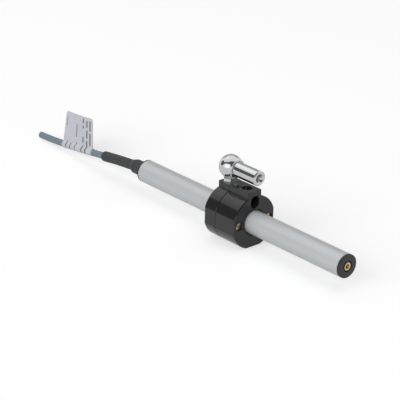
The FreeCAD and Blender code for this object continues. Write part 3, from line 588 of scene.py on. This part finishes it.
ANODISED = ExtrudedMetal(
    "anodised_aluminium",
    colour=(0.55, 0.575, 0.59),
    shade=(0.53, 0.555, 0.57),
    roughness=0.33,
    metallic=0.1,
)
SLIDER_PLASTIC = MouldedPlastic(
    "slider_plastic",
    colour=(0.0155, 0.0155, 0.016),
    bloom=(0.019, 0.019, 0.0195),
    roughness=0.12,
    grain_depth=2.5 * MICRON,
)
CAP_PLASTIC = MouldedPlastic(
    "cap_plastic", colour=(0.016, 0.016, 0.017), bloom=(0.024, 0.024, 0.025), roughness=0.27
)
LINER_PLASTIC = MouldedPlastic(
    "liner_plastic", colour=(0.012, 0.012, 0.013), bloom=(0.018, 0.018, 0.019), roughness=0.5
)
CARRIAGE_PLASTIC = MouldedPlastic(
    "carriage_plastic", colour=(0.62, 0.60, 0.54), bloom=(0.68, 0.66, 0.60), roughness=0.4
)
BRASS = TurnedMetal(
    "turned_brass",
    colour=(0.70, 0.57, 0.40),
    shade=(0.56, 0.43, 0.27),
    # painted shade darkening the insert's threaded bore
    bore_painted_shade=(0.60, 0.38, 0.11),
    bore=1.32 * MM,
)
SCREW_BRASS = TurnedMetal(
    "screw_brass",
    colour=(0.78, 0.66, 0.44),
    shade=(0.62, 0.50, 0.30),
    # painted shade in the screws' small bores, the same colour as their darker tone
    bore_painted_shade=(0.62, 0.50, 0.30),
    bore=0.2 * MM,
    aside=10.3 * MM,
)
GILT = TurnedMetal("gilt_strip", colour=(0.86, 0.66, 0.30), shade=(0.70, 0.50, 0.22))
ZINC = PlatedMetal(
    "bright_zinc", colour=(0.64, 0.645, 0.65), tint=(0.59, 0.60, 0.62), roughness=0.08
)
SPRING = PlatedMetal(
    "spring_wire", colour=(0.60, 0.605, 0.61), tint=(0.53, 0.54, 0.56), roughness=0.15
)
MAGNET = PlatedMetal(
    "nickel_magnet", colour=(0.62, 0.60, 0.57), tint=(0.54, 0.53, 0.52), roughness=0.25
)
POLE_STEEL = ExtrudedMetal(
    "pole_steel", colour=(0.50, 0.50, 0.51), shade=(0.42, 0.42, 0.43), roughness=0.35
)
SEAL = SoftJacket(
    "seal_rubber", colour=(0.02, 0.02, 0.02), dusty=(0.04, 0.04, 0.04), roughness=0.55
)
JACKET = SoftJacket(
    "cable_jacket", colour=(0.172, 0.222, 0.265), dusty=(0.205, 0.25, 0.29), roughness=0.5
)
SLEEVE = SoftJacket(
    "shrink_sleeve",
    colour=(0.021, 0.023, 0.025),
    dusty=(0.094, 0.096, 0.099),
    roughness=0.6,
    fold_depth=0.3 * MM,
)
LEADS = SoftJacket("lead_insulation", colour=(0.50, 0.07, 0.05), dusty=(0.55, 0.12, 0.09))
CORE = SoftJacket("core_insulation", colour=(0.45, 0.34, 0.22), dusty=(0.5, 0.4, 0.28))
BOARD = Laminate("board_laminate")
TRACK_INK = MouldedPlastic(
    "resistor_ink", colour=(0.015, 0.015, 0.017), bloom=(0.03, 0.03, 0.032), roughness=0.25
)
SILVER_INK = ExtrudedMetal(
    "collector_ink", colour=(0.75, 0.76, 0.78), shade=(0.62, 0.63, 0.66), roughness=0.35
)
FILM = LabelFilm(
    "label_film",
    columns=(
        (0.09, 0.046, ((0.08, 0.36), (0.42, 0.76))),
        (0.20, 0.046, ((0.10, 0.28), (0.36, 0.58), (0.64, 0.97))),
        (0.33, 0.046, ((0.06, 0.18), (0.25, 0.33), (0.56, 0.72), (0.80, 1.00))),
        (0.56, 0.030, ((0.26, 0.62), (0.76, 0.98))),
        (0.72, 0.034, ((0.82, 1.00),)),
        (0.86, 0.034, ((0.80, 0.97),)),
        (0.93, 0.022, ((0.14, 0.38),)),
    ),
)


def dress(nodes: Iterable[str], finish: Finish) -> None:
    """Give CAD nodes a finish.

    Args:
        nodes: The nodes' names.
        finish: What they are finished in.
    """
    for name in nodes:
        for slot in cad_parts[name].material_slots:
            slot.material = finish.material()
        log.info("%s is finished in %s", name, finish.name)


class Bench:
    """Modelling by operators, one piece at a time."""

    @staticmethod
    def clear() -> None:
        """Leave edit mode and select nothing."""
        if bpy.context.mode != "OBJECT":
            bpy.ops.object.mode_set(mode="OBJECT")
        bpy.ops.object.select_all(action="DESELECT")

    @staticmethod
    def name_new(name: str) -> bpy.types.Object:
        """Name the object that an operator has just added.

        Args:
            name: The piece's name.

        Returns:
            The new object.
        """
        piece = bpy.context.object
        piece.name = name
        piece.data.name = name
        return piece

    @staticmethod
    def take(*pieces: bpy.types.Object) -> None:
        """Select only these pieces, with the first one active.

        Args:
            pieces: The pieces to work on.
        """
        Bench.clear()
        for piece in pieces:
            piece.select_set(True)
        bpy.context.view_layer.objects.active = pieces[0]

    @staticmethod
    def settle(piece: bpy.types.Object) -> None:
        """Put a piece's place, turn and size into its mesh."""
        Bench.take(piece)
        bpy.ops.object.transform_apply(location=True, rotation=True, scale=True)

    @staticmethod
    def edit(piece: bpy.types.Object, action: str) -> None:
        """Open a piece in edit mode by its faces.

        Args:
            piece: The piece to edit.
            action: SELECT for all its faces, or DESELECT for none.
        """
        Bench.take(piece)
        bpy.ops.object.mode_set(mode="EDIT")
        bpy.ops.mesh.select_mode(type="FACE")
        bpy.ops.mesh.select_all(action=action)

    @staticmethod
    def pick(piece: bpy.types.Object, test: Callable[[bpy.types.MeshPolygon], bool]) -> None:
        """Select the faces that pass a test, and stay in edit mode.

        Args:
            piece: The piece to select on.
            test: Takes one face and says whether it is wanted.
        """
        Bench.edit(piece, "DESELECT")
        bpy.ops.object.mode_set(mode="OBJECT")
        for face in piece.data.polygons:
            face.select = test(face)
        bpy.ops.object.mode_set(mode="EDIT")

    @staticmethod
    def modify(piece: bpy.types.Object, kind: str, **settings: Any) -> None:
        """Add a modifier and apply it.

        Args:
            piece: The piece to modify.
            kind: The modifier's type.
            settings: The modifier's properties.
        """
        Bench.take(piece)
        bpy.ops.object.modifier_add(type=kind)
        modifier = piece.modifiers[-1]
        for name, value in settings.items():
            setattr(modifier, name, value)
        bpy.ops.object.modifier_apply(modifier=modifier.name)

    @staticmethod
    def smooth(piece: bpy.types.Object, degrees: float) -> None:
        """Merge doubles, point the faces outwards and shade softly up to an angle.

        Args:
            piece: The piece to finish.
            degrees: The angle between faces from which an edge stays sharp.
        """
        Bench.edit(piece, "SELECT")
        bpy.ops.mesh.remove_doubles(threshold=0.1 * MICRON)
        bpy.ops.mesh.normals_make_consistent(inside=False)
        bpy.ops.object.mode_set(mode="OBJECT")
        bpy.ops.object.shade_smooth_by_angle(angle=math.radians(degrees))


def finish_piece(piece: bpy.types.Object, body: Body, finish: Finish) -> None:
    """Give a finished piece its material and the body it rides on.

    Args:
        piece: The new piece.
        body: The body that carries it.
        finish: Its finish.
    """
    piece.data.materials.clear()
    piece.data.materials.append(finish.material())
    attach(piece, body.value)
    log.info("%s rides on %s", piece.name, body.value)


@dataclass
class InnerThread:
    """A helical ridge on the wall of a hole that runs along X.

    The ridge's foot is `foot` of a pitch to each side and sunk into the wall by `sunk` of
    the ridge's height.
    """

    name: str
    mouth: Triple
    wall_radius: float
    pitch: float
    turns: int
    ridge: float
    foot: float = 0.42
    sunk: float = 0.15
    steps: int = 32

    def build(self) -> bpy.types.Object:
        """Sweep a small triangle round and along the hole.

        Returns:
            The thread as a closed mesh.
        """
        Bench.clear()
        bpy.ops.mesh.primitive_circle_add(vertices=3, radius=self.ridge, fill_type="NOTHING")
        piece = Bench.name_new(self.name)
        half = self.pitch * self.foot
        corners = (
            (-half, self.wall_radius + self.ridge * self.sunk),
            (half, self.wall_radius + self.ridge * self.sunk),
            (0.0, self.wall_radius - self.ridge),
        )
        for vertex, (along, out) in zip(piece.data.vertices, corners):
            vertex.co = (along, 0.0, out)
        Bench.modify(
            piece,
            "SCREW",
            axis="X",
            angle=2 * math.pi,
            screw_offset=self.pitch,
            iterations=self.turns,
            steps=self.steps,
            render_steps=self.steps,
            use_merge_vertices=False,
        )
        Bench.edit(piece, "SELECT")
        bpy.ops.mesh.fill_holes(sides=0)
        bpy.ops.object.mode_set(mode="OBJECT")
        start = self.turns * self.pitch + half
        piece.location = (self.mouth[0] - start, self.mouth[1], self.mouth[2])
        Bench.settle(piece)
        Bench.smooth(piece, degrees=30.0)
        return piece


@dataclass
class SensorBody:
    """The sensor tube, its two ends and the track inside it."""

    insert_mouth: Triple = (0.07945, 0.0, AXIS_HEIGHT)
    insert_radius: float = 1.25 * MM
    insert_pitch: float = 0.5 * MM
    insert_turns: int = 12
    insert_ridge: float = 0.1 * MM

    def build(self) -> list[bpy.types.Object]:
        """Model the thread in the front insert.

        Returns:
            The new pieces.
        """
        thread = InnerThread(
            "insert_thread",
            self.insert_mouth,
            self.insert_radius,
            self.insert_pitch,
            self.insert_turns,
            self.insert_ridge,
        ).build()
        finish_piece(thread, Body.SENSOR, BRASS)
        return [thread]

    def dress(self) -> None:
        """Finish the CAD nodes."""
        dress(["sensor_tube"], ANODISED)
        dress(["end_cap", "cable_plug"], CAP_PLASTIC)
        dress(["end_insert"], BRASS)
        dress(["end_cap_seal", "cable_plug_seal"], SEAL)
        dress(["track_board"], BOARD)
        dress(["resistor_track"], TRACK_INK)
        dress(["collector_track"], SILVER_INK)
        dress(["track_terminals", "cable_ferrule", "wiper"], GILT)
        dress(["lead_wires"], LEADS)
        dress(["carriage"], CARRIAGE_PLASTIC)
        dress(["carriage_magnet_front", "carriage_magnet_rear"], MAGNET)


# The cable's route, the same points as the solid's, in metres in the row frame.
CABLE_ROUTE: tuple[Triple, ...] = (
    (-0.0717, 0.0, 0.01383),
    (-0.0857, 0.0, 0.01383),
    (-0.0997, 0.0, 0.01248),
    (-0.1132, 0.0001, 0.01073),
    (-0.1270, 0.0011, 0.00853),
    (-0.1410, 0.0023, 0.00633),
    (-0.1550, 0.0035, 0.00418),
    (-0.1690, 0.0044, 0.00253),
    (-0.1796, 0.00485, 0.00195),
)


@dataclass
class CableLine:
    """The cable's middle line, as points from the plug to the free end."""

    points: list[Vector]

    @classmethod
    def along(cls, cable: bpy.types.Object) -> "CableLine":
        """Read the line off the cable's own spline.

        Args:
            cable: The cable's curve.

        Returns:
            The line.
        """
        curve = cable.data.copy()
        curve.bevel_depth = 0.0
        plain = bpy.data.objects.new("cable_line", curve)
        mesh = bpy.data.meshes.new_from_object(plain)
        points = [vertex.co.copy() for vertex in mesh.vertices]
        bpy.data.objects.remove(plain)
        bpy.data.meshes.remove(mesh)
        bpy.data.curves.remove(curve)
        return cls(points)

    def at(self, distance: float) -> tuple[Vector, Vector]:
        """The point and heading at a distance along the line.

        Args:
            distance: How far along it, in metres.

        Returns:
            The point there and the unit direction of the line.
        """
        left = distance
        for start, end in zip(self.points, self.points[1:]):
            step = (end - start).length
            if left <= step:
                break
            left -= step
        heading = (end - start).normalized()
        return start + heading * left, heading


@dataclass
class CutCores:
    """The cut ends of the conductors at the cable's free end.

    Each core stands `spread` radii off the cable's middle, and the rim round its hollow end
    is `rim` of a radius wide.
    """

    count: int = 3
    radius: float = 0.62 * MM
    spread: float = 1.25
    depth: float = 0.5 * MM
    proud: float = 0.07 * MM
    rim: float = 0.45
    hollow: float = 0.08 * MM

    def build_core(self, place: Vector, heading: Vector) -> bpy.types.Object:
        """Model one core, its end hollowed inside the rim.

        Args:
            place: The middle of the core.
            heading: The way its cut end faces.

        Returns:
            The core.
        """
        Bench.clear()
        bpy.ops.mesh.primitive_cylinder_add(
            vertices=24,
            radius=self.radius,
            depth=self.depth,
            location=place,
            rotation=heading.to_track_quat("Z", "Y").to_euler(),
        )
        core = Bench.name_new("core")
        Bench.settle(core)
        Bench.pick(core, lambda face: face.normal.dot(heading) > 0.9)
        bpy.ops.mesh.inset(thickness=self.radius * self.rim)
        bpy.ops.transform.translate(value=heading * -self.hollow)
        bpy.ops.object.mode_set(mode="OBJECT")
        return core

    def build(self, line: CableLine) -> bpy.types.Object:
        """Model the cores in a ring round the cable's middle.

        Args:
            line: The cable's line.

        Returns:
            The cores as one mesh.
        """
        end, before = line.points[-1], line.points[-2]
        heading = (end - before).normalized()
        middle = end + heading * (self.proud - self.depth / 2)
        turn = heading.to_track_quat("Z", "Y")
        cores = []
        for step in range(self.count):
            angle = math.radians(90 + 360 / self.count * step)
            side = Vector((math.cos(angle), math.sin(angle), 0.0)) * self.radius * self.spread
            cores.append(self.build_core(middle + turn @ side, heading))
        Bench.take(*cores)
        bpy.ops.object.join()
        piece = Bench.name_new("cable_cores")
        Bench.smooth(piece, degrees=35.0)
        finish_piece(piece, Body.SENSOR, CORE)
        return piece


@dataclass
class CableLabel:
    """The film label wrapped round the cable, with its two ends stuck together as a flag.

    Each end takes `leaf` of the film's width. The film hugs the jacket, `snug` films off
    it, up to `leaves_at` degrees from the top. From `neck` radii above the cable's middle
    its ends lie `gap` films to each side.
    """

    cable_diameter: float
    start: float = 53.2 * MM
    end: float = 84.2 * MM
    height: float = 19.2 * MM
    film: float = 0.14 * MM
    corner: float = 1.4 * MM
    lean_front: float = 1.8 * MM
    lean_rear: float = 4.0 * MM
    curl: float = 0.5 * MM
    leaf: float = 0.42
    snug: float = 0.8
    leaves_at: float = 30.0
    gap: float = 0.52
    neck: float = 1.25
    columns: int = 40
    rows: int = 96

    def outline(self, around: float, height: float) -> tuple[float, float]:
        """A point of the label's section: round the cable, then up as two stuck layers.

        Args:
            around: From 0 at one top edge, round the cable, to 1 at the other.
            height: The top edge's height above the cable's middle.

        Returns:
            The point's distance to the side, and its height.
        """
        radius = self.cable_diameter / 2 + self.film * self.snug
        side = -1.0 if around < 0.5 else 1.0
        far = abs(around - 0.5) * 2
        wrap = 1.0 - 2 * self.leaf
        sweep = math.pi - math.radians(self.leaves_at)
        angle = -math.pi / 2 + sweep * min(far / wrap, 1.0)
        foot_out, foot_up = radius * math.cos(angle), radius * math.sin(angle)
        if far <= wrap:
            return side * foot_out, foot_up
        up = foot_up + (height - foot_up) * (far - wrap) / (1.0 - wrap)
        ease = min(max((up - foot_up) / (radius * self.neck - foot_up), 0.0), 1.0)
        out = foot_out + (self.film * self.gap - foot_out) * (1 - (1 - ease) ** 2)
        return side * out, up

    def spot(self, line: CableLine, share: float, around: float) -> Vector:
        """The point of the label at two shares of the film.

        Args:
            line: The cable's line.
            share: From 0 at the end nearer the plug to 1 at the other.
            around: From 0 at one top edge, round the cable, to 1 at the other.

        Returns:
            The point, in metres.
        """
        span = self.end - self.start
        place, heading = line.at(self.start + span * share)
        cut = max(self.corner - min(share, 1.0 - share) * span, 0.0)
        dip = self.corner - math.sqrt(self.corner**2 - cut**2)
        side, up = self.outline(around, self.height - dip)
        over = max(up - self.cable_diameter, 0.0) / (self.height - self.cable_diameter)
        lean = (self.lean_front + (self.lean_rear - self.lean_front) * share) * over
        bow = self.curl * over**2 * math.sin(math.pi * share)
        level = Vector((heading.y, -heading.x, 0.0)).normalized()
        upright = level.cross(heading).normalized()
        return place + Vector((0.0, side + lean - bow, 0.0)) + upright * up

    def build(self, line: CableLine) -> bpy.types.Object:
        """Wrap the film round the cable and stand its stuck ends up as a flag.

        Args:
            line: The cable's line.

        Returns:
            The label as a thin closed mesh.
        """
        Bench.clear()
        bpy.ops.mesh.primitive_grid_add(
            x_subdivisions=self.columns, y_subdivisions=self.rows, size=1.0, calc_uvs=True
        )
        piece = Bench.name_new("label_flag")
        for vertex in piece.data.vertices:
            vertex.co = self.spot(line, vertex.co.x + 0.5, vertex.co.y + 0.5)
        Bench.modify(piece, "SOLIDIFY", thickness=self.film, offset=0.0)
        Bench.smooth(piece, degrees=50.0)
        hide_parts("cable_label")
        finish_piece(piece, Body.SENSOR, FILM)
        return piece


@dataclass
class CableRun:
    """The cable, with the sleeve shrunk over its start and the pieces that it carries."""

    diameter: float = 3.8 * MM
    length: float = 108.9 * MM
    leaves_at: Triple = (-0.08445, 0.0, AXIS_HEIGHT)

    def build_cable(self) -> bpy.types.Object:
        """Draw the cable as one smooth spline.

        Returns:
            The cable's curve object.
        """
        curve = bpy.data.curves.new("cable_lead", "CURVE")
        curve.dimensions = "3D"
        curve.bevel_depth = self.diameter / 2
        curve.bevel_resolution = 6
        curve.use_fill_caps = True
        spline = curve.splines.new("NURBS")
        spline.points.add(len(CABLE_ROUTE) - 1)
        for point, place in zip(spline.points, CABLE_ROUTE):
            point.co = (*place, 1.0)
        spline.order_u = 3
        spline.use_endpoint_u = True
        spline.resolution_u = 16
        cable = bpy.data.objects.new("cable_lead", curve)
        bpy.context.scene.collection.objects.link(cable)
        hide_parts("cable")
        finish_piece(cable, Body.SENSOR, JACKET)
        return cable

    def build(self) -> list[bpy.types.Object]:
        """Returns:
            The new pieces.
        """
        cable = self.build_cable()
        line = CableLine.along(cable)
        cores = CutCores().build(line)
        label = CableLabel(self.diameter).build(line)
        return [cable, cores, label]

    def dress(self) -> None:
        """Finish the CAD nodes."""
        dress(["cable_sleeve"], SLEEVE)


@dataclass
class DragSlider:
    """The slider that runs on the tube, in two clamped halves."""

    def dress(self) -> None:
        """Finish the CAD nodes."""
        dress(["slider_front_half", "slider_rear_half"], SLIDER_PLASTIC)
        dress(["guide_liner_front", "guide_liner_rear"], LINER_PLASTIC)
        dress(["slider_magnet_front", "slider_magnet_rear"], MAGNET)
        dress(["slider_pole_ring"], POLE_STEEL)
        dress(["clamp_screws"], SCREW_BRASS)


@dataclass
class BallJoint:
    """The ball stud on the slider and the socket that turns on it."""

    shank_mouth: Triple = (0.0143, 0.0, 0.03913)
    bore_radius: float = 2.1 * MM
    pitch: float = 0.8 * MM
    turns: int = 13
    ridge: float = 0.2 * MM

    def build(self) -> list[bpy.types.Object]:
        """Model the thread in the shank.

        Returns:
            The new pieces.
        """
        thread = InnerThread(
            "shank_thread", self.shank_mouth, self.bore_radius, self.pitch, self.turns, self.ridge
        ).build()
        finish_piece(thread, Body.SOCKET, ZINC)
        return [thread]

    def dress(self) -> None:
        """Finish the CAD nodes."""
        dress(["ball_stud", "ball_socket"], ZINC)
        dress(["retaining_ring", "safety_clip"], SPRING)


STUDIO_MIDDLE = Vector((0.0, 0.0, 0.02))


def towards(swing: float, rise: float) -> Vector:
    """The unit direction at a swing from the front towards +X and a rise, in degrees."""
    turn, lift = math.radians(swing), math.radians(rise)
    return Vector((math.sin(turn) * math.cos(lift), -math.cos(turn) * math.cos(lift), math.sin(lift)))


@dataclass
class Lamp:
    """A soft lamp that sheds light and is not itself seen in reflections."""

    name: str
    swing: float
    rise: float
    wide: float
    high: float
    level: float
    away: float = 5.0

    def build(self) -> None:
        """Hang the lamp with its face towards the object."""
        data = bpy.data.lights.new(self.name, "AREA")
        data.shape = "RECTANGLE"
        data.size = self.wide
        data.size_y = self.high
        data.energy = self.level * math.pi * self.wide * self.high
        lamp = bpy.data.objects.new(self.name, data)
        bpy.context.scene.collection.objects.link(lamp)
        out = towards(self.swing, self.rise)
        turn = out.to_track_quat("Z", "Y").to_matrix().to_4x4()
        lamp.matrix_world = Matrix.Translation(STUDIO_MIDDLE + out * self.away) @ turn
        lamp.visible_glossy = False


@dataclass
class Panel:
    """A curved panel that only reflections show.

    Each station gives a swing from the front, and the rises between which the panel
    lies there, all in degrees as seen from the object. `soft` is the share of its width
    and height over which the panel's glow fades at the edges.
    """

    name: str
    level: float
    stations: tuple[Triple, ...]
    away: float = 1.2
    soft: float = 0.1
    columns: int = 100
    rows: int = 12

    def spot(self, along: float, up: float) -> Vector:
        """The point of the panel at two shares, along its stations and up between its rises.

        Args:
            along: From 0 at the first station to 1 at the last.
            up: From 0 at the lower edge to 1 at the upper.

        Returns:
            The point, in metres.
        """
        first, last = self.stations[0][0], self.stations[-1][0]
        swing = first + (last - first) * along
        for left, right in zip(self.stations, self.stations[1:]):
            if swing <= right[0]:
                break
        share = (swing - left[0]) / (right[0] - left[0])
        low, high = (left[side] + (right[side] - left[side]) * share for side in (1, 2))
        return STUDIO_MIDDLE + towards(swing, low + (high - low) * up) * self.away

    def build(self) -> None:
        """Bend a grid round the object and give it a plain soft-edged glow."""
        Bench.clear()
        bpy.ops.mesh.primitive_grid_add(
            x_subdivisions=self.columns, y_subdivisions=self.rows, size=1.0, calc_uvs=True
        )
        panel = Bench.name_new(self.name)
        for vertex in panel.data.vertices:
            vertex.co = self.spot(vertex.co.x + 0.5, vertex.co.y + 0.5)
        board = ShaderBoard(bpy.data.materials.new(self.name))
        chart = board.add("ShaderNodeTexCoord", {}, {}).outputs["UV"]
        inner = (self.soft / 2, 1 - self.soft / 2, self.soft)
        filled = board.part(chart, Axis.X).within(*inner) * board.part(chart, Axis.Y).within(*inner)
        clear = board.add("ShaderNodeBsdfTransparent", {}, {})
        glow = board.add("ShaderNodeEmission", {}, {"Color": WHITE, "Strength": self.level})
        blend = board.add("ShaderNodeMixShader", {}, {0: filled, 1: clear.outputs[0], 2: glow.outputs[0]})
        board.add("ShaderNodeOutputMaterial", {}, {"Surface": blend.outputs[0]})
        panel.data.materials.append(board.owner)
        for ray in ("camera", "diffuse", "shadow", "transmission"):
            setattr(panel, f"visible_{ray}", False)


@dataclass
class Studio:
    """The floor, lamps, surroundings and camera."""

    floor_size: float = 12.0
    floor_colour: Triple = (0.62, 0.62, 0.62)
    floor_lift: float = 0.54
    floor_shine: float = 0.65
    world_level: float = 0.30
    lens: float = 164.897
    camera_place: Triple = (0.640251, -0.595625, 0.401757)
    camera_swing: float = 48.415
    camera_rise: float = 23.489
    camera_roll: float = 1.325
    lamps: tuple[Lamp, ...] = (
        Lamp("top_lamp", swing=60.0, rise=84.0, wide=4.6, high=4.6, level=0.75),
        Lamp("front_lamp", swing=9.0, rise=30.0, wide=5.3, high=3.1, level=3.2),
    )
    panels: tuple[Panel, ...] = (
        Panel("front_panel", level=1.5, stations=((-19.0, -1.0, 32.0), (37.0, -1.0, 34.0))),
        Panel(
            "arch_panel",
            level=0.11,
            stations=(
                (-78.0, 8.0, 16.0),
                (-66.0, 2.0, 30.0),
                (-57.0, -2.0, 35.0),
                (-47.0, -3.0, 33.0),
                (-40.0, 2.0, 34.0),
                (-33.0, 14.0, 37.0),
                (-25.0, 24.0, 42.0),
                (-8.0, 33.0, 50.0),
                (8.0, 37.0, 55.0),
                (28.0, 37.0, 63.0),
                (40.0, 36.0, 68.0),
                (45.0, 14.0, 69.0),
                (59.0, 14.0, 69.0),
                (64.0, 30.0, 68.0),
                (78.0, 33.0, 66.0),
                (92.0, 36.0, 62.0),
                (108.0, 38.0, 56.0),
                (122.0, 36.0, 46.0),
            ),
            soft=0.06,
        ),
        Panel("sky_panel", level=1.25, stations=((-112.0, 40.0, 72.0), (-48.0, 42.0, 78.0))),
        Panel("rear_panel", level=0.42, stations=((185.0, 10.0, 42.0), (271.0, 10.0, 42.0))),
    )

    @staticmethod
    def seen(board: ShaderBoard, shine: float = 1.0) -> Signal:
        """Where a ray comes from the camera, a reflection or glass.

        Args:
            board: The shader board to add to.
            shine: How strongly reflections count.

        Returns:
            1 for such a ray, and 0 for light that falls on the object.
        """
        path = board.add("ShaderNodeLightPath", {}, {})
        camera, glossy, through = (
            Signal(board, path.outputs[name])
            for name in ("Is Camera Ray", "Is Glossy Ray", "Is Transmission Ray")
        )
        return camera.most(glossy * shine).most(through)

    def build_floor(self) -> None:
        """Lay a pale floor that keeps the object's shadow."""
        Bench.clear()
        bpy.ops.mesh.primitive_plane_add(size=self.floor_size)
        floor = Bench.name_new("studio_floor")
        board = ShaderBoard(bpy.data.materials.new("floor_paper"))
        paper = board.add("ShaderNodeBsdfDiffuse", {}, {"Color": (*self.floor_colour, 1.0)})
        lift = self.seen(board, self.floor_shine) * self.floor_lift
        glow = board.add("ShaderNodeEmission", {}, {"Color": WHITE, "Strength": lift})
        both = board.add("ShaderNodeAddShader", {}, {0: paper.outputs[0], 1: glow.outputs[0]})
        board.add("ShaderNodeOutputMaterial", {}, {"Surface": both.outputs[0]})
        floor.data.materials.append(board.owner)

    def build_world(self) -> None:
        """Surround the object with soft white light."""
        world = bpy.data.worlds.new("studio_world")
        bpy.context.scene.world = world
        board = ShaderBoard(world)
        level = self.seen(board) * (1.0 - self.world_level) + self.world_level
        glow = board.add("ShaderNodeBackground", {}, {"Color": WHITE, "Strength": level})
        board.add("ShaderNodeOutputWorld", {}, {"Surface": glow.outputs[0]})

    def build_camera(self) -> None:
        """Set up the camera at the photograph's viewing angle."""
        swing, roll = math.radians(self.camera_swing), math.radians(self.camera_roll)
        level = Vector((math.cos(swing), math.sin(swing), 0.0))
        back = towards(self.camera_swing, self.camera_rise)
        upright = back.cross(level)
        right = level * math.cos(roll) + upright * math.sin(roll)
        up = upright * math.cos(roll) - level * math.sin(roll)
        data = bpy.data.cameras.new("studio_camera")
        data.sensor_fit = "HORIZONTAL"
        data.sensor_width = 36.0
        data.lens = self.lens
        data.clip_start = 0.01
        data.clip_end = 50.0
        camera = bpy.data.objects.new("studio_camera", data)
        bpy.context.scene.collection.objects.link(camera)
        turn = Matrix((right, up, back)).transposed().to_4x4()
        camera.matrix_world = Matrix.Translation(self.camera_place) @ turn
        bpy.context.scene.camera = camera

    def build(self) -> None:
        """Set up the whole studio."""
        self.build_floor()
        self.build_world()
        for item in (*self.lamps, *self.panels):
            item.build()
        self.build_camera()
        bpy.context.scene.view_settings.view_transform = "Standard"


def main() -> None:
    """Build the studio and dress each sub-assembly."""
    logging.basicConfig(level=logging.INFO, format="%(name)s: %(message)s")
    Studio().build()
    sensor, cable, slider, joint = SensorBody(), CableRun(), DragSlider(), BallJoint()
    for assembly in (sensor, cable, slider, joint):
        assembly.dress()
    for assembly in (cable, sensor, joint):
        for piece in assembly.build():
            log.info("%s is built", piece.name)
    Bench.clear()


if __name__ == "__main__":
    main()
